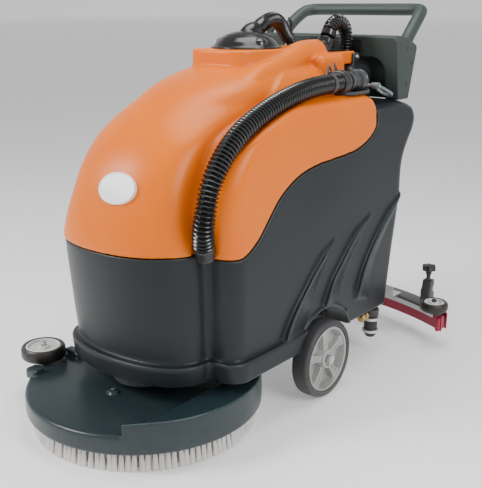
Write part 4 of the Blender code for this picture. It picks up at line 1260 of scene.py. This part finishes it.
# ---------------------------------------------------------------- brush deck
@dataclass
class BrushDeck:
    """Round brush deck with one raised side, its bump roller, bolts and brush."""

    radius: float = 0.280
    lip_z: float = 0.047
    low_z: float = 0.092
    high_z: float = 0.122
    step_x: float = 0.196
    roller: tuple[float, float] = (-0.276, -0.084)

    def cover(self) -> None:
        """Build the deck itself."""
        r, low = self.radius, self.low_z
        profile = [(0.050, low + 0.008), (0.130, low + 0.006), (0.258, low + 0.001),
                   (r - 0.006, low),
                   (r - 0.001, low - 0.004), (r, low - 0.010), (r, self.lip_z + 0.004),
                   (r - 0.002, self.lip_z),
                   (r - 0.008, self.lip_z), (r - 0.008, low - 0.010), (0.130, low - 0.002),
                   (0.050, low)]
        deck = Workshop.turned("brush_deck_cover", profile, (0, 0, 0), Axis.Z, 96)
        raised = arc((0, 0), r - 0.0005, -55, 55, 48) + [(self.step_x, 0.190),
                                                         (self.step_x, -0.190)]
        adds = [Workshop.prism("raised", raised, low - 0.010, self.high_z)]
        adds.append(Workshop.rounded(Workshop.block("rear_stop", (-0.262, -0.036, low - 0.012),
                                                    (-0.205, -0.006, low + 0.018)), 0.006, 3))
        adds.append(Workshop.rounded(Workshop.block("front_stop", (-0.244, -0.166, low - 0.012),
                                                    (-0.206, -0.132, low + 0.016)), 0.006, 3))
        adds.append(Workshop.rod("roller_lug", 0.020,
                                 (self.roller[0] + 0.004, self.roller[1], low - 0.034),
                                 (self.roller[0] + 0.004, self.roller[1], low + 0.006)))
        adds.append(Workshop.turned("boss",
                                    [(0.0, low + 0.0125), (0.012, low + 0.0125),
                                     (0.017, low + 0.002),
                                             (0.0, low + 0.002)], (0.009, -0.108, 0), Axis.Z, 32))
        Workshop.carve(deck, Op.JOIN, *adds)
        room = Workshop.rod("roller_room", 0.0565, (*self.roller, low + 0.0075),
                            (*self.roller, low + 0.06), 64)
        Workshop.carve(deck, Op.CUT, room)
        Workshop.soften(deck, 0.0026, 3)
        Workshop.finish(deck, DECK, "deck_unit", "brush_deck")
        bolt = Workshop.turned("deck_bolt",
                               [(0.0, 0.0175), (0.0052, 0.0175), (0.0062, 0.0165), (0.0062, 0.0130),
                                             (0.0095, 0.0130), (0.0095, 0.0118), (0.0, 0.0118)],
                               (0.009, -0.108, low), Axis.Z, 24)
        Workshop.finish(bolt, DECK, "deck_unit")
        x, y = self.roller
        stud = Workshop.rod("stud", 0.0040, (x, y, low - 0.01), (x, y, low + 0.0510), 20)
        Workshop.carve(stud, Op.JOIN,
                       Workshop.prism("nut", [(x + a, y + b)
                                              for a, b in arc((0, 0), 0.0085, 0, 300, 5)],
                                                     low + 0.0395, low + 0.0460))
        Workshop.finish(Workshop.rounded(stud, 0.0005, 1), STEEL, "deck_unit")

    @staticmethod
    def bump_roller(name: str, body: str, at: Point, radius: float, height: float) -> None:
        """Build a bump roller.

        Args:
            name: the start of its CAD nodes' names.
            body: the CAD body it is.
            at: the middle of its lower face.
            radius: outside radius of the tyre.
            height: height of the tyre.
        """
        r, h = radius - 0.0122, height
        hub = [(r, 0.004), (r, h - 0.002), (r - 0.002, h - 0.0005), (r - 0.0045, h - 0.0012),
               (r - 0.006, h - 0.006),
               (0.014, h - 0.008), (0.0125, h - 0.0030), (0.0105, h - 0.0022), (0.0046, h - 0.0022),
               (0.0046, 0.004)]
        Workshop.finish(Workshop.turned(name + "_hub_turned", hub, at, Axis.Z, 64), WHITE, body,
                        name + "_hub")
        q = radius
        tyre = [(q - 0.0112, 0.001), (q - 0.006, 0.0), (q - 0.002, 0.003), (q, 0.008),
                (q, h - 0.008),
                (q - 0.002, h - 0.003), (q - 0.006, h), (q - 0.0112, h - 0.001)]
        Workshop.finish(Workshop.turned(name + "_tyre_turned", tyre, at, Axis.Z, 64), ROLLER, body,
                        name + "_tyre")

    def brush(self) -> None:
        """Build the tufts of the brush, each leaning a little its own way."""
        rng = random.Random(5)
        tufts = []
        for radius, count in ((0.2555, 116), (0.2390, 108), (0.2230, 100)):
            for k in range(count):
                turn = 2 * math.pi * (k + rng.uniform(-0.12, 0.12)) / count
                out = Vector((math.cos(turn), math.sin(turn), 0))
                along = Vector((-out.y, out.x, 0))
                flare = 0.0060 if radius > 0.25 else 0.0035
                top = out * radius + Vector((0, 0, 0.0612))
                foot = out * (radius + flare * rng.uniform(0.75, 1.0))
                foot = foot + along * rng.uniform(-0.0035, 0.0035)
                foot.z = 0.0004
                rings = []
                for share, size in ((0.0, 0.0034), (0.35, 0.0044), (0.75, 0.0058), (1.0, 0.0065)):
                    middle = top.lerp(foot, share)
                    rings.append([middle + along * size * 1.05 * math.cos(t)
                                  + out * size * 0.72 * math.sin(t)
                                  for t in (2 * math.pi * i / 10 for i in range(10))])
                tufts.append(Workshop.loft("tuft", rings))
        brush = Workshop.gather("bristle_tufts", tufts)
        Workshop.shade(brush, 50)
        Workshop.finish(brush, BRISTLE, "brush", "bristle_ring")

    def build(self) -> None:
        """Build every piece of the deck."""
        self.cover()
        self.bump_roller("deck_roller", "deck_roller", (*self.roller, self.low_z + 0.008), 0.055,
                         0.032)
        self.brush()


# ---------------------------------------------------------------- wheels
@dataclass
class TransportWheel:
    """Cast rim with five flared spokes, and a solid tyre."""

    word: str
    side: int
    x: float = 0.268
    y: float = 0.355
    radius: float = 0.100
    half: float = 0.024

    def rim(self) -> None:
        """Build the rim, its spokes and its hub."""
        h, s = self.half, self.side
        ring = [(0.0833, h - 0.005), (0.0815, h - 0.0025), (0.0785, h - 0.0025),
                (0.0770, h - 0.005),
                (0.0760, h - 0.012), (0.0735, -0.004), (0.0260, -0.006), (0.0260, -h + 0.004),
                (0.0735, -0.010),
                (0.0760, -h + 0.006), (0.0833, -h + 0.004)]
        rim = Workshop.turned("wheel_rim_" + self.word + "_cast", [(r, s * z) for r, z in ring],
                              (0, 0, 0), Axis.X, 72)
        parts = [Workshop.turned("hub", [(r, s * z) for r, z in (
            (0.0240, h - 0.004), (0.0225, h - 0.0022), (0.0180, h - 0.0022), (0.0165, h - 0.005),
            (0.0088, h - 0.005), (0.0088, -h + 0.004), (0.0270, -h + 0.004), (0.0270, 0.000))],
            (0, 0, 0), Axis.X, 48)]
        for k in range(5):
            outline = [(0.020, -0.0095), (0.040, -0.0080), (0.060, -0.0095), (0.078, -0.0170),
                       (0.078, 0.0170),
                       (0.060, 0.0095), (0.040, 0.0080), (0.020, 0.0095)]
            low, high = sorted((s * -0.006, s * (h - 0.010)))
            spoke = Workshop.prism("spoke", outline, low, high, Axis.X)
            pocket = [(0.030, -0.0040), (0.050, -0.0038), (0.070, -0.0095), (0.070, 0.0095),
                      (0.050, 0.0038),
                      (0.030, 0.0040)]
            low, high = sorted((s * (h - 0.0145), s * h))
            Workshop.carve(spoke, Op.CUT, Workshop.prism("pocket", pocket, low, high, Axis.X))
            spoke.data.transform(Matrix.Rotation(2 * math.pi * (k + 0.30) / 5, 4, "X"))
            parts.append(spoke)
        Workshop.carve(rim, Op.JOIN, *parts)
        Workshop.soften(rim, 0.0011, 3)
        rim.data.transform(Matrix.Translation((self.side * self.x, self.y, self.radius)))
        Workshop.finish(rim, RIM, self.word + "_wheel", "wheel_rim_" + self.word)

    def tyre(self) -> None:
        """Build the tyre."""
        h, r = self.half, self.radius
        profile = [(0.0840, h - 0.002), (0.0862, h - 0.0005), (0.0890, h), (0.0915, h - 0.0012),
                   (0.0930, h - 0.0005),
                   (0.0960, h - 0.002), (0.0985, h - 0.005), (0.0997, h - 0.009), (r, h - 0.013),
                   (r, 0.0)]
        profile += [(q, -z) for q, z in reversed(profile[:-1])]
        tyre = Workshop.turned("tyre_" + self.word + "_moulded", profile,
                               (self.side * self.x, self.y, r), Axis.X, 96)
        Workshop.finish(Workshop.shade(tyre, 50), TYRE, self.word + "_wheel", "tyre_" + self.word)

    def build(self) -> None:
        """Build both pieces."""
        self.rim()
        self.tyre()


# ---------------------------------------------------------------- squeegee
@dataclass
class Squeegee:
    """Bowed squeegee with two blades, brackets, lobed knobs and end rollers."""

    bow_r: float = 0.785
    bow_y: float = 0.140
    top: float = 0.0970

    def band(self, name: str, inner: float, outer: float, half: float, low: float,
             high: float) -> bpy.types.Object:
        """Return an upright band that follows the bow.

        Args:
            name: the piece's name.
            inner: inner radius, measured from the bow's own radius.
            outer: outer radius, measured the same way.
            half: half of its width.
            low: its lower edge.
            high: its upper edge.

        Returns:
            The band.
        """
        r_in, r_out = self.bow_r + inner, self.bow_r + outer
        wide, tight = math.degrees(math.asin(half / r_out)), math.degrees(math.asin(half / r_in))
        outline = arc((0, self.bow_y), r_out, 90 - wide, 90 + wide, 48)
        outline += arc((0, self.bow_y), r_in, 90 + tight, 90 - tight, 48)
        return Workshop.prism(name, outline, low, high)

    def blades(self) -> None:
        """Build the two crimson blades and the bright clamp strips along them."""
        top = self.top - 0.0004
        front = Workshop.rounded(self.band("blade_front_moulded", -0.0165, -0.0126, 0.375, 0.050,
                                           top), 0.0008, 1)
        Workshop.finish(front, CRIMSON, "squeegee", "blade_front")
        rear = self.band("blade_rear_moulded", 0.0126, 0.0165, 0.375, 0.048, top)
        ends = [Workshop.block("blade_end", (s * 0.366 - 0.006, 0.800, 0.052),
                               (s * 0.366 + 0.006, 0.836, 0.092))
                for s in (-1, 1)]
        Workshop.finish(Workshop.rounded(rear, 0.0008, 1), CRIMSON, "squeegee", "blade_rear")
        for k, end in enumerate(ends):
            Workshop.finish(Workshop.rounded(end, 0.003, 3), CRIMSON,
                            "squeegee").name = f"blade_end_{k}"
        strip = self.band("blade_strip", -0.0190, -0.0170, 0.340, 0.079, 0.0955)
        Workshop.finish(Workshop.rounded(strip, 0.0005, 1), STEEL, "squeegee")

    def body(self) -> None:
        """Build the black top plate, the core, the nozzle and the knob brackets."""
        top = self.top
        plate = self.band("squeegee_top", -0.026, 0.022, 0.366, top, top + 0.007)
        core = self.band("core", -0.0110, 0.0110, 0.352, 0.070, top + 0.001)
        adds = [core, Workshop.rod("nozzle", 0.0230, (0.080, 0.896, 0.102), (0.080, 0.896, 0.160),
                                   48)]
        for s in (-1, 1):
            adds.append(Workshop.rod("ear", 0.014, (s * 0.344, 0.820, top),
                                     (s * 0.344, 0.820, top + 0.007)))
            adds.append(Workshop.rod("stud", 0.0040, (s * 0.344, 0.820, top + 0.004),
                                     (s * 0.344, 0.820, top + 0.0435)))
            adds.append(Workshop.rod("bolt", 0.0075, (s * 0.344, 0.820, top + 0.0365),
                                     (s * 0.344, 0.820, top + 0.0415), 6))
            side = [(0.845, top + 0.003), (0.845, top + 0.050), (0.852, top + 0.062),
                    (0.856, top + 0.080),
                    (0.876, top + 0.0815), (0.878, top + 0.066), (0.872, top + 0.058),
                    (0.872, top + 0.048),
                    (0.881, top + 0.040), (0.881, top + 0.003)]
            adds.append(Workshop.prism("bracket", side, s * 0.300 - 0.013, s * 0.300 + 0.013,
                                       Axis.X))
        Workshop.carve(plate, Op.JOIN, *adds)
        Workshop.finish(Workshop.rounded(plate, 0.0010, 2), BLACK, "squeegee", "squeegee_body")

    def knob(self, word: str, side: int) -> None:
        """Build one six-lobed knob.

        Args:
            word: left or right, for the names.
            side: 1 for the left, -1 for the right.
        """
        z = self.top + 0.0818
        outline = []
        for k in range(72):
            turn = 2 * math.pi * k / 72
            radius = 0.0185 + 0.0022 * math.cos(6 * turn)
            outline.append((side * 0.300 + radius * math.cos(turn),
                            0.864 + radius * math.sin(turn)))
        head = Workshop.rounded(Workshop.prism("squeegee_knob_" + word + "_lobed", outline,
                                               z + 0.028, z + 0.044),
                                0.003, 3)
        stem = Workshop.turned("stem",
                               [(0.0, z + 0.030), (0.0105, z + 0.030), (0.0085, z + 0.020),
                                (0.0062, z + 0.012),
                                        (0.0062, z), (0.0, z)], (side * 0.300, 0.864, 0), Axis.Z,
                                        32)
        Workshop.carve(head, Op.JOIN, stem)
        Workshop.finish(Workshop.shade(head, 40), BLACK, word + "_knob", "squeegee_knob_" + word)

    def build(self) -> None:
        """Build every piece of the squeegee."""
        self.blades()
        self.body()
        for word, side in (("left", 1), ("right", -1)):
            self.knob(word, side)
            BrushDeck.bump_roller("squeegee_roller_" + word, word + "_roller",
                                  (side * 0.344, 0.820, self.top + 0.0094),
                                  0.040, 0.027)


# ---------------------------------------------------------------- console
@dataclass
class Console:
    """Console housing with its arched recess, screws, controls, label and hooped handle."""

    top: float = 0.872
    half_x: float = 0.232
    front_y: float = 0.730
    tube_r: float = 0.0172
    handle_x: float = 0.200
    handle_y: float = 0.945
    handle_z: float = 0.938

    def handle_points(self) -> list[Point]:
        """Return the points that the handle's middle line goes through."""
        x, y, z = self.handle_x, self.handle_y, self.handle_z
        half = [(x + 0.010, 0.792, 0.800), (x + 0.010, 0.812, 0.850), (x + 0.007, 0.862, 0.896),
                (x - 0.001, y - 0.034, z - 0.010), (x - 0.014, y - 0.011, z - 0.002),
                (x - 0.040, y - 0.001, z),
                (x - 0.080, y, z)]
        return half + [(0.0, y, z)] + [(-a, b, c) for a, b, c in reversed(half)]

    def housing(self) -> None:
        """Build the housing."""
        t, x = self.top, self.half_x
        side = [(self.front_y, t - 0.004), (self.front_y + 0.004, t), (0.776, t),
                (0.786, t - 0.003),
                (0.836, t - 0.026), (0.842, t - 0.034), (0.8065, 0.706), (0.803, 0.704),
                (0.753, 0.704),
                (0.750, 0.707)]
        box = Workshop.prism("console_shell", side, -x, x, Axis.X)
        recess = arc((0.150, 0.775), 0.040, 0, 90, 8) + arc((-0.150, 0.775), 0.040, 90, 180, 8)
        recess += [(-0.190, 0.690), (0.190, 0.690)]
        cuts = [Workshop.prism("recess", recess, 0.700, 0.778, Axis.Y)]
        path = Workshop.route(self.handle_points(), 0.02)
        cuts.append(Workshop.sweep("socket", path, [self.tube_r + 0.0010] * len(path), 32))
        for s in (-1, 1):
            for y, z in ((0.785, 0.838), (0.812, 0.800), (0.788, 0.742)):
                cuts.append(Workshop.rod("screw_hole", 0.0052, (s * (x - 0.006), y, z),
                                         (s * (x + 0.01), y, z), 24))
        for s in (-1, 1):
            turn = arc((x - 0.022, t - 0.022), 0.022, 0, 90, 10)
            corner = [(s * (x + 0.02), t + 0.02)] + [(s * a, b) for a, b in turn]
            corner[1:1] = [(s * (x + 0.02), t - 0.022)]
            corner.append((s * (x - 0.022), t + 0.02))
            cuts.append(Workshop.prism("corner", corner, 0.700, 0.880, Axis.Y))
        Workshop.carve(box, Op.CUT, *cuts)
        Workshop.soften(box, 0.0022, 3)
        Workshop.finish(box, CONSOLE, "machine", "console_housing")
        screws = [Workshop.rod("screw", 0.0042, (s * (x - 0.0058), y, z), (s * (x - 0.0030), y, z),
                               6)
                  for s in (-1, 1) for y, z in ((0.785, 0.838), (0.812, 0.800), (0.788, 0.742))]
        Workshop.finish(Workshop.gather("console_screws", screws), BLACK, "machine")

    def handle(self) -> None:
        """Build the hooped tube."""
        path = Workshop.route(self.handle_points(), 0.008)
        bar = Workshop.sweep("handle_hoop", path, [self.tube_r] * len(path), 36)
        Workshop.finish(bar, CONSOLE, "machine", "handle_bar")

    def label(self) -> None:
        """Build the blank label plate on the housing's front."""
        y = self.front_y - 0.0004
        outline = []
        for cx, cz, start in ((0.116, 0.854, 0), (0.080, 0.854, 90), (0.080, 0.834, 180),
                              (0.116, 0.834, 270)):
            outline += arc((cx, cz), 0.007, start, start + 90, 6)
        plate = Workshop.prism("label_blank", outline, y - 0.0022, y, Axis.Y)
        Workshop.finish(Workshop.rounded(plate, 0.0006, 2), GLOSS, "machine", "label_plate")

    def lever(self) -> None:
        """Build the squeegee lever with its round grip."""
        path = Workshop.route([(-0.246, 0.780, 0.780), (-0.250, 0.800, 0.850),
                               (-0.250, 0.830, 0.900)], 0.004)
        radii = [0.0050 if k < len(path) * 0.62 else 0.0098 for k in range(len(path))]
        radii[-1] = 0.0070
        lever = Workshop.sweep("squeegee_lever_bar", path, radii, 28)
        Workshop.carve(lever, Op.JOIN,
                       Workshop.rod("hub", 0.0160, (-0.2450, 0.780, 0.780), (-0.2330, 0.780, 0.780),
                                    40))
        Workshop.finish(Workshop.shade(lever, 40), BLACK, "lift_lever", "squeegee_lever")

    def prongs(self) -> None:
        """Build the two-pronged trigger at the right foot of the handle."""
        at = Vector((-0.150, 0.768, self.top - 0.002))
        base = Workshop.rod("trigger_prongs", 0.0130, at, at + Vector((0, 0, 0.020)), 32)
        prongs = [Workshop.sweep("prong",
                                 [at + Vector((dx, 0, 0.012)),
                                  at + Vector((dx * 1.6, -0.006, 0.034)),
                                           at + Vector((dx * 1.2, -0.014, 0.046))],
                                           [0.0050, 0.0046, 0.0030], 20)
                  for dx in (-0.008, 0.008)]
        Workshop.carve(base, Op.JOIN, *prongs)
        Workshop.finish(Workshop.rounded(base, 0.0012, 2), BLACK, "machine")

    def build(self) -> None:
        """Build every piece of the console."""
        self.housing()
        self.handle()
        self.label()
        self.lever()
        self.prongs()


# ---------------------------------------------------------------- undercarriage
@dataclass
class Undercarriage:
    """The water filter and brass valve under the rear."""

    filter_at: tuple[float, float] = (0.226, 0.668)

    def filter(self) -> None:
        """Build the filter bowl, its head and two bright clamps."""
        x, y = self.filter_at
        bowl = [(0.0, 0.134), (0.013, 0.134), (0.022, 0.129), (0.0222, 0.112), (0.0205, 0.109),
                (0.0190, 0.104),
                (0.0188, 0.060), (0.0170, 0.052), (0.0120, 0.046), (0.0, 0.045)]
        piece = Workshop.turned("water_filter_bowl", bowl, (x, y, 0), Axis.Z, 48)
        Workshop.finish(piece, BLACK, "machine", "water_filter")
        clamps = [Workshop.turned("clamp",
                                  [(0.0222, z + 0.004), (0.0232, z + 0.003), (0.0232, z - 0.003),
                                            (0.0222, z - 0.004), (0.0180, z - 0.004),
                                            (0.0180, z + 0.004)],
                                  (x, y, 0), Axis.Z, 48) for z in (0.100, 0.064)]
        clamps.append(Workshop.prism("hanger",
                                     [(x - 0.004, y - 0.014), (x + 0.012, y - 0.014),
                                      (x + 0.012, y + 0.014),
                                                (x - 0.004, y + 0.014)], 0.1345, 0.1445))
        Workshop.finish(Workshop.gather("filter_clamps", clamps), ZINC, "machine")

    def valve(self) -> None:
        """Build the brass fitting with its two hexagons."""
        x, y = self.filter_at
        y -= 0.0225
        pieces = [Workshop.turned("barrel",
                                  [(0.0, -0.036), (0.0075, -0.036), (0.0095, -0.034), (0.0095, 0.0),
                                             (0.0, 0.0)], (x, y, 0.116), Axis.Y, 32)]
        for low, high, radius in ((-0.034, -0.024, 0.0138), (-0.014, -0.006, 0.0125)):
            hexagon = [(x + a, 0.116 + b) for a, b in arc((0, 0), radius, 0, 300, 5)]
            pieces.append(Workshop.prism("nut", hexagon, y + low, y + high, Axis.Y))
        fitting = Workshop.carve(pieces[0], Op.JOIN, *pieces[1:])
        fitting.name = "brass_fitting"
        Workshop.finish(Workshop.rounded(fitting, 0.0006, 1), BRASS, "machine", "brass_valve")

    def build(self) -> None:
        """Build every piece."""
        self.filter()
        self.valve()


CARRIED = {
    "battery_left": BATTERY, "battery_right": BATTERY, "brush_plate": BLACK, "brush_motor": MOTOR,
    "gearbox": MOTOR,
    "vacuum_motor": MOTOR, "vacuum_cover": BLACK, "chassis_frame": ZINC, "wheel_axle": STEEL,
    "swivel_bolt": STEEL,
    "caster_fork_left": ZINC, "caster_fork_right": ZINC, "caster_wheel_left": ROLLER,
    "caster_wheel_right": ROLLER,
    "squeegee_arm": ZINC, "squeegee_carrier": ZINC, "lift_pedal": BLACK, "hinge_pin_left": STEEL,
    "hinge_pin_right": STEEL, "control_panel": GLOSS, "brush_button": GREEN, "vacuum_button": GREEN,
    "key_switch": STEEL,
}


def dress_carried_nodes() -> None:
    """Give the CAD nodes that stay in view their finishes."""
    for name, look in CARRIED.items():
        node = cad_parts[name]
        node.data.materials.clear()
        node.data.materials.append(look.material())
        LOG.info("%s: kept, %s", name, look.name)


# ---------------------------------------------------------------- studio
@dataclass
class Studio:
    """Camera, pale floor and soft lights."""

    azimuth: float = 39.22
    elevation: float = 16.30
    deck_spot: tuple[float, float, float] = (1.307, -1.238, 0.949)
    lens: float = 60.16
    sensor: float = 36.0
    room: float = 60.0
    wall_height: float = 40.0

    def camera(self) -> None:
        """Make the camera."""
        a, e = math.radians(self.azimuth), math.radians(self.elevation)
        back = Vector((math.sin(a) * math.cos(e), -math.cos(a) * math.cos(e), math.sin(e)))
        right = Vector((math.cos(a), math.sin(a), 0.0))
        up = back.cross(right)
        turn = Matrix((right, up, back)).transposed().to_4x4()
        data = bpy.data.cameras.new("view")
        data.sensor_width = self.sensor
        data.lens = self.lens
        camera = bpy.data.objects.new("view", data)
        x, y, z = self.deck_spot
        camera.matrix_world = Matrix.Translation((x, y + BRUSH_AXIS_Y, z)) @ turn
        bpy.context.scene.collection.objects.link(camera)
        bpy.context.scene.camera = camera

    @staticmethod
    def lamp(name: str, spot: Point, aim: Point, size: float, power: float) -> None:
        """Add one soft square light that faces a point.

        Args:
            name: the light's name.
            spot: where it stands.
            aim: what it faces.
            size: the length of its side.
            power: its power in watts.
        """
        data = bpy.data.lights.new(name, "AREA")
        data.size = size
        data.energy = power
        lamp = bpy.data.objects.new(name, data)
        lamp.location = spot
        lamp.rotation_euler = (Vector(aim) - Vector(spot)).to_track_quat("-Z", "Y").to_euler()
        bpy.context.scene.collection.objects.link(lamp)

    def light(self) -> None:
        """Make the floor, the pale surround and the lights."""
        r, top = self.room, self.wall_height
        floor = Workshop.gather("studio_floor", [
            Workshop.block("ground", (-r, -r, -0.02), (r, r, -0.0005)),
            Workshop.block("west", (-r - 0.1, -r, 0), (-r, r, top)),
            Workshop.block("east", (r, -r, 0), (r + 0.1, r, top)),
            Workshop.block("south", (-r, -r - 0.1, 0), (r, -r, top)),
            Workshop.block("north", (-r, r, 0), (r, r + 0.1, top))])
        paint = Paint("studio_white")
        spot = paint.place()
        paint.feed(paint.shader.inputs["Base Color"],
                   paint.blend(paint.noise(spot, 2.0), (0.86, 0.86, 0.86), (0.88, 0.88, 0.88)))
        paint.shader.inputs["Roughness"].default_value = 0.6
        paint.shader.inputs["Emission Color"].default_value = (1.0, 1.0, 1.0, 1.0)
        paint.shader.inputs["Emission Strength"].default_value = 0.25
        floor.data.materials.append(paint.material)
        world = bpy.data.worlds.new("surround")
        world.use_nodes = True
        world.node_tree.nodes["Background"].inputs["Color"].default_value = (1.0, 1.0, 1.0, 1.0)
        world.node_tree.nodes["Background"].inputs["Strength"].default_value = 0.36
        bpy.context.scene.world = world
        self.lamp("key", (-1.4, -2.2, 2.2), (0.0, -0.2, 0.6), 1.1, 88.0)
        self.lamp("side", (2.5, -0.4, 1.9), (0.2, 0.1, 0.4), 1.3, 50.0)
        self.lamp("top", (0.1, 0.3, 2.8), (0.0, 0.0, 0.4), 1.5, 45.0)


def main() -> None:
    """Build the camera, the machine and the studio."""
    logging.basicConfig(level=logging.INFO, format="%(name)s: %(message)s")
    studio = Studio()
    studio.camera()
    RecoveryTank().build()
    DrainHose().build()
    SuctionHoses().build()
    SolutionTank().build()
    BrushDeck().build()
    TransportWheel("left", 1).build()
    TransportWheel("right", -1).build()
    Squeegee().build()
    Console().build()
    Undercarriage().build()
    dress_carried_nodes()
    studio.light()


if __name__ == "__main__":
    main()
